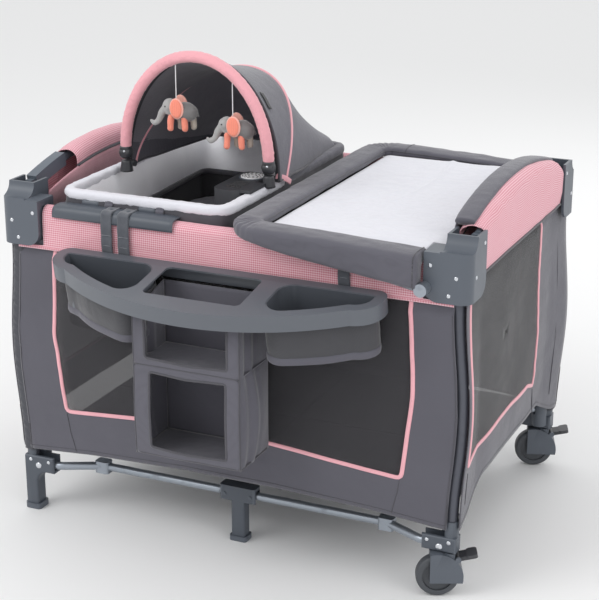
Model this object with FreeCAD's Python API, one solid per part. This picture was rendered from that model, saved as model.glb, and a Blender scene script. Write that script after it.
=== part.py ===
"""Folding playpen with bassinet insert, napper, changing table and organizer.

Millimetres.  +X runs along the long side to the caster end, +Y to the rear
side, +Z up.  The origin is on the floor, under the centre of the four posts.
"""
import FreeCAD, Part
import math
import os

V = FreeCAD.Vector
ORIGIN = V(0, 0, 0)
AXIS_X = V(1, 0, 0)
AXIS_Y = V(0, 1, 0)
AXIS_Z = V(0, 0, 1)

# ---- frame: posts and their spacing ----
post_x = 490.0            # post axis, half of the long spacing
post_y = 342.0            # post axis, half of the short spacing
post_r = 12.5
tube_wall = 1.5
post_bottom_z = 126.0
post_top_z = 716.0
bow_low_z = 152.0         # the post bows outwards between these heights
bow_high_z = 624.0
bow_out = 14.0

# ---- clearances ----
air = 0.3                 # between pieces of different bodies
fit_gap = 0.1             # between a pin and its hole
touch_gap = 0.5           # over fabric covered rails

# ---- fold linkage ----
rail_pin_inset = 50.0     # rail pin to post axis
bar_pin_inset = 20.0      # side bar pin to post axis
hub_pin_reach = 48.0      # hub centre to floor tube pin
pin_r = 4.0

# ---- rails ----
long_rail_r = 11.0
long_pin_z = 696.0
long_rail_drop = 12.0     # tube axis under its pins
end_rail_r = 10.0
end_pin_z = 728.0
end_rail_rise = 45.0      # arch height over its pins
end_rail_shift = 10.9     # the two halves pass side by side
sleeve_half = 15.0
sleeve_width = 24.2
sleeve_low_y = 158.0

# ---- top corner castings ----
corner_reach = 31.0       # outer face to post axis
corner_wing = 63.0        # wing tip to post axis
corner_low_z = 624.0
corner_top_z = 722.0
corner_arm_z = 750.0
corner_round = 26.0
corner_low_round = 30.0   # lower corner of each wing
lid_gap = 2.0             # rail eye to the casting's lid
long_slot = 12.5          # half width of the rail slots
end_slot = 25.0

# ---- floor linkage ----
floor_tube_r = 9.0
floor_pin_z = 150.0
side_bar_r = 9.0
side_pin_z = 108.0
side_bar_y = 300.0        # plane of the straight stretch
clip_x = 337.0
bar_slot = 9.8            # half width of the tube slots
eye_r = 9.3
ear_wall = 5.0

# ---- feet ----
foot_half = 14.5          # half width of the leg
foot_plate_reach = 58.0   # plate's inner edge to the post axis
foot_plate_half_y = 17.0
foot_plate_low_z = 92.0
foot_plate_top_z = 130.0
foot_web_r = 26.0         # concave web between leg and plate
foot_flare = 5.0
caster_plate_low_z = 97.0
lobe_top_z = 164.0
centre_plate_half = 42.0
centre_pin_x = post_x - bar_pin_inset - (post_x - rail_pin_inset)
centre_leg_half = 16.0
hub_core_r = 28.0
hub_leg_r = 19.0

# ---- casters ----
wheel_r = 44.0
wheel_width = 26.0
axle_r = 5.0
caster_trail = 26.0
caster_stem_r = 6.0
fork_wall = 5.0
fork_top_z = 96.0
hood_gap = 2.5
lever_x = -14.0           # brake lever pivot, from the stem
lever_z = 83.0
lever_length = 40.0
lever_tilt = 12.0
caster_turn = {"fr": -156.0, "rr": -160.0}

# ---- fabric walls ----
cloth = 2.5
wall_gap = 3.5            # post surface to the cloth
hem_z = 164.0
corner_hem_z = 132.0
corner_hem_x = 40.0       # width of the lower hem at each corner
long_cap_z = 708.5
long_cap_half = 19.5
long_cap_inner_low_z = 640.0
end_cap_half = 27.5
end_cap_depth = 58.0
end_cap_y = {-1: 154.0, 1: 274.0}
band_low_z = 640.0
corner_gap = 3.0          # cap end to corner casting

# ---- bassinet insert ----
insert_x = 438.0
insert_y = 303.0
insert_round = 75.0
insert_wall = 4.0
insert_floor_z = 428.0
insert_top_z = long_cap_z - 18.5
hook_x = (95.0, 320.0)
hook_width = 40.0
tab_x = -250.0            # side tabs under the napper's saddles
tab_low_z = 667.0
mattress_gap = 6.0
mattress_thick = 26.0

# ---- napper ----
napper_left = -405.0
napper_right = -8.0
napper_front = -328.0
napper_rear = 316.0
napper_rim_low_z = long_cap_z + 12.5
napper_rim_top_z = napper_rim_low_z + 23.0
napper_round = 42.0
napper_body_inset = 22.0
napper_body_y = 292.0
napper_floor_z = napper_rim_low_z - 161.0
napper_wall = 4.0
napper_pad_thick = 25.0
mount_left = -396.0
mount_right = -113.0
mount_wall = 4.5
mount_low_z = 682.0
mount_link_inset = 70.0   # middle of each link, from the saddle's end
mount_link_half = 22.0

# ---- toy bar, canopy and toys ----
toy_bar_y = -127.0
toy_bar_r = 11.0
toy_bar_base_z = napper_rim_top_z + 44.0
toy_bar_half = 172.0
toy_bar_height = 216.0
toy_joint_r = 14.0
canopy_y = -104.0
canopy_base_z = napper_rim_top_z + 4.0
canopy_half = 188.0
canopy_height = 258.0
canopy_depth = 400.0
canopy_wall = 3.0
canopy_bow_r = 5.0
toy_x = (-226.0, -92.0)
cord_r = 1.0
cord_length = 72.0
toy_body_r = 27.0

# ---- music unit ----
unit_left = -98.0
unit_front = -222.0
unit_rear = -62.0
unit_low_z = napper_rim_low_z - 33.0
unit_top_z = napper_rim_top_z + 7.0
unit_round = 22.0
button_r = 25.0
button_travel = 1.5
button_proud = 3.0

# ---- changing table ----
changer_left = 14.0
changer_pin_x = 430.0
changer_pin_z = 652.0
changer_outer_y = 404.0
changer_inner_y = 338.0   # inner edge of the padded side rims
changer_tube_r = 8.0
changer_tube_y = 388.0
changer_rim_width = 60.0
changer_rim_top_z = long_cap_z + 27.5
changer_rim_end_z = long_cap_z + 9.5
changer_pad_low_z = long_cap_z + 4.0
changer_pad_thick = 11.0
changer_disc_r = 13.0
changer_swing_r = 138.0   # reach of the corner casting from the pivot
end_pad_out = 4.0
end_pad_thick = 9.0
end_pad_drop = 34.0

# ---- organizer ----
tray_left = -362.0
tray_right = 365.0
tray_back = -376.0
tray_front = -562.0
tray_shoulder_x = 52.0    # shoulder of the bowed front, from the tray's end
tray_shoulder_y = -466.0
tray_corner_y = -408.0
tray_top_z = 634.0
tray_low_z = 600.0
tray_tilt = 10.0          # the hanging tray's front edge drops
tray_wall = 4.0
tray_margin = 22.0
bin_depth_z = 514.0
bin_wall = 2.0
bin_inner = {-1: 128.0, 1: 148.0}   # inner edge of each bin opening
bin_round = 34.0
slot_half = 106.0         # half width of the middle opening
stacker_left = -125.0
stacker_right = 108.0
stacker_front = -512.0
stacker_back = -386.0
stacker_split_z = 460.0
stacker_low_z = 268.0
stacker_wall = 3.0
stacker_frame = 20.0      # cloth around each window
stacker_window_z = 572.0  # top of the upper window
strap_wall = 2.2
left_straps = ((-277.0, -252.0), (-238.0, -212.0))
right_strap = (250.0, 275.0)

# ---- worked-out values ----
rail_half_x = post_x - rail_pin_inset
rail_half_y = post_y - rail_pin_inset
floor_span = math.hypot(rail_half_x, rail_half_y)
diagonal = V(rail_half_x / floor_span, rail_half_y / floor_span, 0)
across = V(-diagonal.y, diagonal.x, 0)
hub_pin = diagonal * hub_pin_reach
corner_pin = hub_pin + V(rail_half_x, rail_half_y, 0)
long_rail_z = long_pin_z - long_rail_drop
hub_top_z = floor_pin_z + eye_r + ear_wall
floor_cloth_z = hub_top_z + air
arch_r = (rail_half_y ** 2 + end_rail_rise ** 2) / (2 * end_rail_rise)
arch_centre_z = end_pin_z + end_rail_rise - arch_r
cloth_in = post_r + wall_gap
cloth_out = cloth_in + cloth
corners = {"fl": (-1, -1), "fr": (1, -1), "rl": (-1, 1), "rr": (1, 1)}


# ---- helpers ----
def block(x_range, y_range, z_range):
    """Box between three pairs of limits."""
    size = [high - low for low, high in (x_range, y_range, z_range)]
    return Part.makeBox(*size, V(x_range[0], y_range[0], z_range[0]))


def rod(start, end, radius):
    """Round bar between two points."""
    run = end - start
    return Part.makeCylinder(radius, run.Length, start, run)


def pin(centre, axis, radius, width):
    """Round bar centred on a point."""
    half = V(axis).normalize() * (width / 2)
    return rod(centre - half, centre + half, radius)


def join(shapes):
    """One shape from overlapping or touching ones."""
    first, *rest = shapes
    return first.fuse(rest).removeSplitter() if rest else first


def prism(points, extrusion):
    """Solid from a closed outline of points."""
    face = Part.Face(Part.makePolygon(points + points[:1]))
    return face.extrude(extrusion)


def round_edges(shape, radius, direction, where=lambda edge: True):
    """Fillet the straight edges that run along a direction."""
    edges = []
    for edge in shape.Edges:
        if edge.Curve.TypeId != "Part::GeomLine":
            continue
        run = (edge.valueAt(edge.LastParameter) - edge.valueAt(edge.FirstParameter)).normalize()
        if abs(abs(run.dot(direction)) - 1) < 1e-6 and where(edge):
            edges.append(edge)
    return shape.makeFillet(radius, edges) if edges else shape


def rounded_block(x_range, y_range, z_range, radius):
    """Box with rounded upright edges."""
    return round_edges(block(x_range, y_range, z_range), radius, AXIS_Z)


def rounded_path(points, bend=None):
    """Straight runs joined by tangent arcs: one radius, or as large as the runs allow."""
    edges = []
    radii = []
    start = points[0]
    for before, corner, after in zip(points, points[1:], points[2:]):
        run_in = before - corner
        run_out = after - corner
        half_turn = (math.pi - run_in.getAngle(run_out)) / 2
        reach = 0.45 * min(run_in.Length, run_out.Length)
        if bend:
            reach = min(reach, bend * math.tan(half_turn))
        radii.append(reach / math.tan(half_turn))
        unit_in = V(run_in).normalize()
        unit_out = V(run_out).normalize()
        first = corner + unit_in * reach
        last = corner + unit_out * reach
        inward = V(unit_in + unit_out).normalize()
        depth = radii[-1] / math.cos(half_turn) - radii[-1]
        edges.append(Part.LineSegment(start, first).toShape())
        edges.append(Part.Arc(first, corner + inward * depth, last).toShape())
        start = last
    edges.append(Part.LineSegment(start, points[-1]).toShape())
    return Part.Wire(edges), radii


def sweep(wire, radius):
    """Round solid along a wire."""
    first = wire.OrderedEdges[0]
    start = first.valueAt(first.FirstParameter)
    tangent = first.tangentAt(first.FirstParameter)
    circle = Part.Wire(Part.makeCircle(radius, start, tangent))
    return wire.makePipeShell([circle], True, True)


def hollow_sweep(wire, radius):
    """Tube along a wire."""
    return sweep(wire, radius).cut(sweep(wire, radius - tube_wall))


def mirrored(shape, side_x, side_y):
    """Copy of a piece built at the rear right corner, for another corner."""
    if side_x < 0:
        shape = shape.mirror(ORIGIN, AXIS_X)
    if side_y < 0:
        shape = shape.mirror(ORIGIN, AXIS_Y)
    return shape


def bow_at(z):
    """How far the post stands out at a height."""
    quarter = (bow_high_z - bow_low_z) / 4
    half_turn = math.atan(bow_out / 2 / quarter)
    radius = quarter / math.sin(2 * half_turn)
    middle = (bow_low_z + bow_high_z) / 2
    off = abs(z - middle)
    if off >= 2 * quarter:
        return 0.0
    if off <= quarter:
        return bow_out - radius + math.sqrt(radius ** 2 - off ** 2)
    return radius - math.sqrt(radius ** 2 - (2 * quarter - off) ** 2)


def bow_line(x, y, low_z, high_z):
    """Edges of the bowed line at x, from low_z up to high_z."""
    step = (bow_high_z - bow_low_z) / 8
    marks = [bow_low_z + step * n for n in range(9)]
    knots = [V(x + bow_at(z), y, z) for z in marks]
    arcs = [Part.Arc(knots[n], knots[n + 1], knots[n + 2]).toShape() for n in (0, 2, 4, 6)]
    edges = arcs
    if low_z < bow_low_z:
        edges = [Part.LineSegment(V(x, y, low_z), knots[0]).toShape()] + edges
    return edges + [Part.LineSegment(knots[-1], V(x, y, high_z)).toShape()]


# ---- posts and corner castings ----
def corner_post():
    """Bowed steel post."""
    wire = Part.Wire(bow_line(post_x, post_y, post_bottom_z, post_top_z))
    return hollow_sweep(wire, post_r)


def top_corner():
    """Casting that joins the post to the long rail and the end rail."""
    x_out = post_x + corner_reach
    y_out = post_y + corner_reach
    x_in = post_x - corner_reach
    y_in = post_y - corner_reach
    long_wing = block((post_x - corner_wing, x_out), (y_in, y_out), (corner_low_z, corner_top_z))
    end_wing = block((x_in, x_out), (post_y - corner_wing, y_out), (corner_low_z, corner_arm_z))
    saddle_r = corner_arm_z - corner_top_z
    saddle = pin(V(0, y_out - saddle_r + corner_reach / 2, corner_arm_z), AXIS_X, saddle_r, 4 * post_x)
    body = join([long_wing, end_wing.cut(saddle)])
    body = round_edges(body, corner_round, AXIS_Z,
                       lambda edge: edge.CenterOfMass.x > x_out - 1 and edge.CenterOfMass.y > y_out - 1)
    body = round_edges(body, corner_low_round, AXIS_Y,
                       lambda edge: edge.CenterOfMass.x < x_in - 1 and edge.CenterOfMass.z < corner_low_z + 1)
    body = round_edges(body, corner_low_round, AXIS_X,
                       lambda edge: edge.CenterOfMass.y < y_in - 1 and edge.CenterOfMass.z < corner_low_z + 1)
    long_way = block((post_x - corner_wing - 1, post_x - post_r - 3), (post_y - long_slot, post_y + long_slot),
                     (corner_low_z - 1, long_pin_z + eye_r + lid_gap))
    end_way = block((post_x - end_slot, post_x + end_slot), (post_y - corner_wing - 1, post_y - post_r - 3),
                    (corner_low_z - 1, corner_arm_z + 1))
    post_hole = rod(V(post_x, post_y, corner_low_z - 1), V(post_x, post_y, post_top_z), post_r + fit_gap)
    body = body.cut([long_way, end_way, post_hole])
    long_pin = pin(V(rail_half_x, post_y, long_pin_z), AXIS_Y, pin_r, 2 * corner_reach - 4)
    end_pin = pin(V(post_x, rail_half_y, end_pin_z), AXIS_X, pin_r, 2 * corner_reach - 4)
    return join([body, long_pin, end_pin])


# ---- rails ----
def long_rail(tongue):
    """Half of a long rail, from its post to the middle of the side."""
    z = long_rail_z
    tube_in = eye_r + 16
    tube_out = rail_half_x - 24
    pin_mid = V(0, post_y, long_pin_z)
    pin_end = V(rail_half_x, post_y, long_pin_z)
    line = Part.Wire([Part.LineSegment(V(tube_in, post_y, z), V(tube_out, post_y, z)).toShape()])
    tube = hollow_sweep(line, long_rail_r)
    end_half = long_slot - 2
    end_low = z - long_rail_r
    end_plug = join([
        block((tube_out, rail_half_x), (post_y - end_half, post_y + end_half), (end_low, long_pin_z + eye_r)),
        pin(pin_end, AXIS_Y, eye_r, 2 * end_half)])
    end_plug = end_plug.cut(pin(pin_end, AXIS_Y, pin_r + fit_gap, 4 * corner_reach))
    tongue_half = 4.5
    cheek_out = 10.0
    mid_block = block((eye_r + 0.7, tube_in), (post_y - cheek_out, post_y + cheek_out), (end_low, long_pin_z))
    if tongue:
        eye = pin(pin_mid, AXIS_Y, eye_r, 2 * tongue_half)
        bridge = block((0, eye_r + 0.7), (post_y - tongue_half, post_y + tongue_half),
                       (long_pin_z - 6, long_pin_z))
        hole = pin(pin_mid, AXIS_Y, pin_r + air, 4 * corner_reach)
        mid_plug = join([mid_block, eye, bridge]).cut(hole)
    else:
        cheeks = join([pin(pin_mid, AXIS_Y, eye_r, 2 * cheek_out),
                       block((0, eye_r + 0.7), (post_y - cheek_out, post_y + cheek_out),
                             (long_pin_z - 6, long_pin_z))])
        gap = pin(pin_mid, AXIS_Y, eye_r + 0.6, 2 * (tongue_half + air))
        mid_plug = join([mid_block, cheeks]).cut(gap).fuse(pin(pin_mid, AXIS_Y, pin_r, 2 * cheek_out))
    return Part.makeCompound([tube, end_plug, mid_plug.removeSplitter()])


def arch_wire(shift, y_from, y_to, rise=0.0):
    """Arc of the end rail's arch, in the plane x = post_x + shift."""
    radius = arch_r + rise
    points = []
    for y in (y_from, (y_from + y_to) / 2, y_to):
        points.append(V(post_x + shift, y, arch_centre_z + math.sqrt(radius ** 2 - y ** 2)))
    return Part.Wire([Part.Arc(*points).toShape()])


def arch_band(x_range, rise_range, y_from, y_to):
    """Strip that follows the arch: a rectangle turned about the arch's axis."""
    start = math.asin(y_from / arch_r)
    turn = math.asin(y_to / arch_r) - start
    corners_xz = []
    for x, rise in ((0, 0), (1, 0), (1, 1), (0, 1)):
        corners_xz.append(V(x_range[x], 0, arch_centre_z + arch_r + rise_range[rise]))
    face = Part.Face(Part.makePolygon(corners_xz + corners_xz[:1]))
    centre = V(0, 0, arch_centre_z)
    face.rotate(centre, AXIS_X, -math.degrees(start))
    return face.revolve(centre, AXIS_X, -math.degrees(turn))


def end_rail(side, sleeved):
    """Half of an arched end rail; side is +1 for the outer half, -1 for the inner one."""
    shift = side * end_rail_shift
    eye_half = end_rail_shift - 2.9
    centre_x = post_x + shift
    tube_start = 10.0
    tube_end = rail_half_y - 18
    tube = hollow_sweep(arch_wire(shift, tube_start, tube_end), end_rail_r)
    plate_x = sorted((post_x + side * air, post_x + side * 5.7))
    foot = V(post_x + side * (air + 5.7) / 2, 0, end_pin_z)
    tip_z = arch_centre_z + arch_r
    plate = join([
        block(plate_x, (-2, tube_start), (end_pin_z, tip_z + end_rail_r)),
        pin(foot, AXIS_X, eye_r, 5.4)])
    if side > 0:
        stud = pin(V(post_x, 0, end_pin_z), AXIS_X, pin_r, 11.4)
        plate = join([plate, stud])
    else:
        plate = plate.cut(pin(foot, AXIS_X, pin_r + air, 2 * eye_r))
    pin_end = V(centre_x, rail_half_y, end_pin_z)
    end_z = arch_centre_z + math.sqrt(arch_r ** 2 - tube_end ** 2)
    neck = block((centre_x - eye_half, centre_x + eye_half), (tube_end, rail_half_y),
                 (end_pin_z - eye_r, end_z + end_rail_r - 2))
    end_plug = join([neck, pin(pin_end, AXIS_X, eye_r, 2 * eye_half)])
    end_plug = end_plug.cut(pin(pin_end, AXIS_X, pin_r + fit_gap, 2 * corner_reach))
    if not sleeved:
        return Part.makeCompound([tube, plate, end_plug])
    sleeve_x = sorted((post_x + side * air, post_x + side * sleeve_width))
    sleeve = arch_band(sleeve_x, (-sleeve_half, sleeve_half), sleeve_low_y, tube_end - 1)
    sleeve = sleeve.cut(sweep(arch_wire(shift, sleeve_low_y - 20, tube_end), end_rail_r + fit_gap))
    return Part.makeCompound([tube, plate, end_plug, sleeve])


# ---- floor linkage ----
def upright_slot(centre, run, half, reach, z_range):
    """Upright slot of a tube: centred on a line, from behind the pin outwards."""
    side = V(-run.y, run.x, 0)
    back = centre - run * (eye_r + 1)
    points = [back + side * half, back - side * half,
              centre + run * reach - side * half, centre + run * reach + side * half]
    points = [V(point.x, point.y, z_range[0]) for point in points]
    return prism(points, V(0, 0, z_range[1] - z_range[0]))


def floor_tube():
    """Diagonal tube between the hub and a corner."""
    inner = V(hub_pin.x, hub_pin.y, floor_pin_z)
    outer = V(corner_pin.x, corner_pin.y, floor_pin_z)
    plug = 16.0
    line = Part.Wire([Part.LineSegment(inner + diagonal * plug, outer - diagonal * plug).toShape()])
    shapes = [hollow_sweep(line, floor_tube_r)]
    for centre, run in ((inner, diagonal), (outer, diagonal * -1)):
        eye = join([pin(centre, across, eye_r, 2 * floor_tube_r - 1),
                    rod(centre, centre + run * plug, floor_tube_r - 1)])
        shapes.append(eye.cut(pin(centre, across, pin_r + fit_gap, 2 * corner_reach)))
    return Part.makeCompound(shapes)


def side_bar():
    """Bent bar between a foot and the centre foot, with its bumper clip."""
    outer_x = post_x - bar_pin_inset
    outer = V(outer_x, post_y, side_pin_z)
    inner = V(centre_pin_x, side_bar_y, side_pin_z)
    plug = 15.0
    wire, _ = rounded_path([outer - V(plug, 0, 0), V(outer_x - 3 * plug, post_y, side_pin_z),
                            V(clip_x, side_bar_y, side_pin_z), inner + V(plug, 0, 0)], 40)
    bar = sweep(wire, side_bar_r)
    shapes = [bar.cut(sweep(wire, side_bar_r - tube_wall))]
    for centre, run in ((outer, -1), (inner, 1)):
        eye = join([pin(centre, AXIS_Y, eye_r, 2 * side_bar_r),
                    rod(centre, centre + V(run * plug, 0, 0), side_bar_r - 1)])
        shapes.append(eye.cut(pin(centre, AXIS_Y, pin_r + fit_gap, 2 * corner_reach)))
    clip = rounded_block((clip_x - 17, clip_x + 17), (side_bar_y - 13, side_bar_y + 13),
                         (side_pin_z - 14, side_pin_z + 13), 7)
    shapes.append(clip.cut(bar))
    return Part.makeCompound(shapes)


def central_hub():
    """Hub under the floor: four forks for the floor tubes and a leg to the floor."""
    low_z = floor_pin_z - eye_r - ear_wall
    leg_top = V(0, 0, hub_top_z - 6)
    core = rod(V(0, 0, low_z - 16), V(0, 0, hub_top_z), hub_core_r)
    leg = rod(ORIGIN, leg_top, hub_leg_r)
    foot = Part.makeCone(hub_leg_r + 9, hub_leg_r, 26)
    forks = []
    slots = []
    pins = []
    for side_x, side_y in corners.values():
        run = V(diagonal.x * side_x, diagonal.y * side_y, 0)
        side = V(-run.y, run.x, 0)
        centre = V(hub_pin.x * side_x, hub_pin.y * side_y, floor_pin_z)
        half = bar_slot + ear_wall
        tip = run * (hub_pin_reach + eye_r)
        outline = [side * half, side * -half, tip - side * half, tip + side * half]
        outline = [V(point.x, point.y, low_z) for point in outline]
        forks.append(prism(outline, V(0, 0, hub_top_z - low_z)))
        slots.append(upright_slot(centre, run, bar_slot, 60, (low_z - 40, hub_top_z + 1)))
        pins.append(pin(centre, side, pin_r, 2 * half - 2))
    body = join([core] + forks).cut(slots)
    return join([body, leg, foot] + pins)


def corner_block(low_z, leg_z):
    """Plastic plate at the foot of a post; its leg reaches down to leg_z."""
    outer_x = post_x + foot_half
    inner_x = post_x - foot_plate_reach
    web_x = post_x - foot_half
    y = post_y - foot_plate_half_y
    edges = [
        Part.LineSegment(V(outer_x, y, leg_z), V(outer_x, y, foot_plate_top_z)),
        Part.LineSegment(V(outer_x, y, foot_plate_top_z), V(inner_x, y, foot_plate_top_z)),
        Part.LineSegment(V(inner_x, y, foot_plate_top_z), V(inner_x, y, low_z))]
    if leg_z < low_z - foot_web_r:
        bend = foot_web_r * (1 - math.sqrt(0.5))
        edges += [
            Part.LineSegment(V(inner_x, y, low_z), V(web_x - foot_web_r, y, low_z)),
            Part.Arc(V(web_x - foot_web_r, y, low_z), V(web_x - bend, y, low_z - bend),
                     V(web_x, y, low_z - foot_web_r)),
            Part.LineSegment(V(web_x, y, low_z - foot_web_r), V(web_x, y, leg_z)),
            Part.LineSegment(V(web_x, y, leg_z), V(outer_x, y, leg_z))]
    else:
        edges.append(Part.LineSegment(V(inner_x, y, low_z), V(outer_x, y, leg_z)))
    plate = Part.Face(Part.Wire([edge.toShape() for edge in edges])).extrude(V(0, 2 * foot_plate_half_y, 0))
    plate = plate.makeFillet(5, [edge for edge in plate.Edges if is_side_rim(edge, y)])
    lobe_r = bar_slot + ear_wall + 2
    lobe = rod(V(corner_pin.x, corner_pin.y, low_z + 12), V(corner_pin.x, corner_pin.y, lobe_top_z), lobe_r)
    collar = rod(V(post_x, post_y, foot_plate_top_z - 2), V(post_x, post_y, lobe_top_z), post_r + 2.5)
    body = join([plate, lobe, collar])
    pin_at = V(corner_pin.x, corner_pin.y, floor_pin_z)
    bar_x = post_x - bar_pin_inset
    bar_way = block((inner_x - 20, bar_x + eye_r + 1.5), (post_y - bar_slot, post_y + bar_slot),
                    (side_pin_z - eye_r - 1.5, lobe_top_z + 20))
    tube_way = upright_slot(pin_at, diagonal * -1, bar_slot, 60, (floor_pin_z - eye_r - 2, lobe_top_z + 20))
    post_way = rod(V(post_x, post_y, post_bottom_z), V(post_x, post_y, lobe_top_z + 20), post_r + fit_gap)
    body = body.cut([bar_way, tube_way, post_way])
    bar_pin = pin(V(bar_x, post_y, side_pin_z), AXIS_Y, pin_r, 2 * foot_plate_half_y - 2)
    tube_pin = pin(pin_at, across, pin_r, 2 * bar_slot + 6)
    return join([body, bar_pin, tube_pin])


def is_side_rim(edge, y):
    """Edge in one of the plate's two faces, above the floor."""
    low = min(vertex.Z for vertex in edge.Vertexes)
    faces_y = (y, y + 2 * foot_plate_half_y)
    return low > 1 and any(all(abs(vertex.Y - side) < 1e-6 for vertex in edge.Vertexes) for side in faces_y)


def foot():
    """Fixed foot of the end without casters."""
    half_x = foot_half + foot_flare
    half_y = foot_plate_half_y + foot_flare - 2
    pad = rounded_block((post_x - half_x, post_x + half_x), (post_y - half_y, post_y + half_y), (0, 13), 8)
    return join([corner_block(foot_plate_low_z, 0), pad])


def caster_housing():
    """Plate of the caster end, with the socket of the caster's stem."""
    body = corner_block(caster_plate_low_z, caster_plate_low_z)
    socket = rod(V(post_x, post_y, 0), V(post_x, post_y, fork_top_z + 20), caster_stem_r + fit_gap)
    return body.cut(socket)


def centre_foot():
    """Foot in the middle of a long side, between the two side bars."""
    half = bar_slot + ear_wall
    top_z = side_pin_z + eye_r + 10
    plate = rounded_block((-centre_plate_half, centre_plate_half), (side_bar_y - half, side_bar_y + half),
                          (side_pin_z - eye_r - 5, top_z), 6)
    leg = rounded_block((-centre_leg_half, centre_leg_half), (side_bar_y - half + 1, side_bar_y + half - 1),
                        (0, top_z - 5), 5)
    pad_x = (-centre_leg_half - 4, centre_leg_half + 4)
    pad = rounded_block(pad_x, (side_bar_y - half - 2, side_bar_y + half + 2),
                        (0, 12), 6)
    body = join([plate, leg, pad])
    slots = []
    pins = []
    for side in (-1, 1):
        inner = centre_pin_x - eye_r - 1
        slot_x = sorted((side * inner, side * (centre_plate_half + 30)))
        slots.append(block(slot_x, (side_bar_y - bar_slot, side_bar_y + bar_slot),
                           (40, side_pin_z + eye_r + 3)))
        pins.append(pin(V(side * centre_pin_x, side_bar_y, side_pin_z), AXIS_Y, pin_r, 2 * half + 3))
    return join([body.cut(slots)] + pins)


# ---- casters, built at the origin of their stem and turned into place ----
def placed_caster(shape, corner):
    """Turn a caster piece about its stem and move it to its corner."""
    side_x, side_y = corners[corner]
    shape.rotate(ORIGIN, AXIS_Z, caster_turn[corner])
    shape.translate(V(side_x * post_x, side_y * post_y, 0))
    return shape


def caster_fork():
    """Fork and hood over the wheel, with its stem and axle."""
    gap = wheel_width / 2 + 1.2
    half = gap + fork_wall
    hub = V(caster_trail, 0, wheel_r)
    hood_r = wheel_r + hood_gap
    hood = pin(hub, AXIS_Y, hood_r + fork_wall, 2 * half).cut(pin(hub, AXIS_Y, hood_r, 2 * gap))
    hood = hood.common(block((-2 * wheel_r, caster_trail + 16), (-half, half), (wheel_r - 12, fork_top_z)))
    crown = rod(V(0, 0, wheel_r), V(0, 0, fork_top_z), caster_stem_r + 11)
    crown = crown.cut(pin(hub, AXIS_Y, hood_r, 4 * gap))
    stem = rod(V(0, 0, fork_top_z - 5), V(0, 0, fork_top_z + 18), caster_stem_r)
    axle = pin(hub, AXIS_Y, axle_r, 2 * half)
    lever_pin = V(lever_x, 0, lever_z)
    ears = pin(lever_pin, AXIS_Y, 6, 2 * half)
    lever_way = block((-2 * wheel_r, lever_x + 9), (-half + 4, half - 4), (lever_z - 8, fork_top_z + 1))
    return join([join([hood, crown, ears]).cut(lever_way), stem, axle, pin(lever_pin, AXIS_Y, 2.5, 2 * half)])


def caster_wheel():
    """Wheel with a rounded tread and a recessed hub."""
    hub = V(caster_trail, 0, wheel_r)
    wheel = pin(hub, AXIS_Y, wheel_r, wheel_width)
    rims = [edge for edge in wheel.Edges if edge.Curve.TypeId == "Part::GeomCircle"]
    wheel = wheel.makeFillet(7, rims)
    recess_r = wheel_r - 13
    for side in (-1, 1):
        centre = hub + V(0, side * wheel_width / 2, 0)
        ring = pin(centre, AXIS_Y, recess_r, 8).cut(pin(centre, AXIS_Y, axle_r + 9, 20))
        wheel = wheel.cut(ring)
    return wheel.cut(pin(hub, AXIS_Y, axle_r + fit_gap, 2 * wheel_width))


def brake_lever():
    """Foot lever of the brake, on the far side of the stem from the wheel."""
    pivot = V(lever_x, 0, lever_z)
    half = wheel_width / 2 + 1.2 + fork_wall - 4 - air
    arm = rounded_block((lever_x - lever_length, lever_x), (-half, half), (lever_z - 4, lever_z + 4), 6)
    tread = rounded_block((lever_x - lever_length, lever_x - 18), (-half - 3, half + 3),
                          (lever_z - 1, lever_z + 5), 7)
    lever = join([arm, tread, pin(pivot, AXIS_Y, 5, 2 * half)]).cut(pin(pivot, AXIS_Y, 2.5 + fit_gap, 60))
    lever.rotate(pivot, AXIS_Y, lever_tilt)
    return lever


# ---- fabric walls ----
def wall_outline(low_z, high_z, x_half, y, depth):
    """Front sheet's outline with bowed side edges, extruded by depth along Y."""
    right = bow_line(x_half, y, low_z, high_z)
    left = [edge.mirror(ORIGIN, AXIS_X) for edge in right]
    top = Part.LineSegment(V(-x_half, y, high_z), V(x_half, y, high_z)).toShape()
    bottom_x = x_half + bow_at(low_z)
    bottom = Part.LineSegment(V(-bottom_x, y, low_z), V(bottom_x, y, low_z)).toShape()
    edges = Part.__sortEdges__(right + left + [top, bottom])
    return Part.Face(Part.Wire(edges)).extrude(V(0, depth, 0))


def long_wall():
    """Long side of the enclosure: sheet, band and the sleeve over the rail."""
    x_half = post_x + cloth_in - air
    y_in = post_y + cloth_in
    y_out = y_in + cloth
    sheet = wall_outline(corner_hem_z, long_cap_z, x_half, y_in, cloth)
    hem_x = post_x - corner_hem_x
    hem_cut = block((-hem_x, hem_x), (0, 2 * post_y), (0, hem_z))
    corner_cut = [block(sorted((side * (post_x - corner_wing - corner_gap), side * 2 * post_x)),
                        (0, 2 * post_y), (corner_low_z - corner_gap, 2 * post_x)) for side in (-1, 1)]
    sheet = sheet.cut([hem_cut] + corner_cut)
    cap_x = post_x - corner_wing - corner_gap
    inner_y = post_y - long_cap_half
    section = [V(-cap_x, y_out, long_cap_z), V(-cap_x, inner_y, long_cap_z),
               V(-cap_x, inner_y, long_cap_inner_low_z), V(-cap_x, inner_y + cloth, long_cap_inner_low_z),
               V(-cap_x, inner_y + cloth, long_cap_z - cloth), V(-cap_x, y_out, long_cap_z - cloth)]
    cap = prism(section, V(2 * cap_x, 0, 0))
    return join([sheet, cap])


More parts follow.
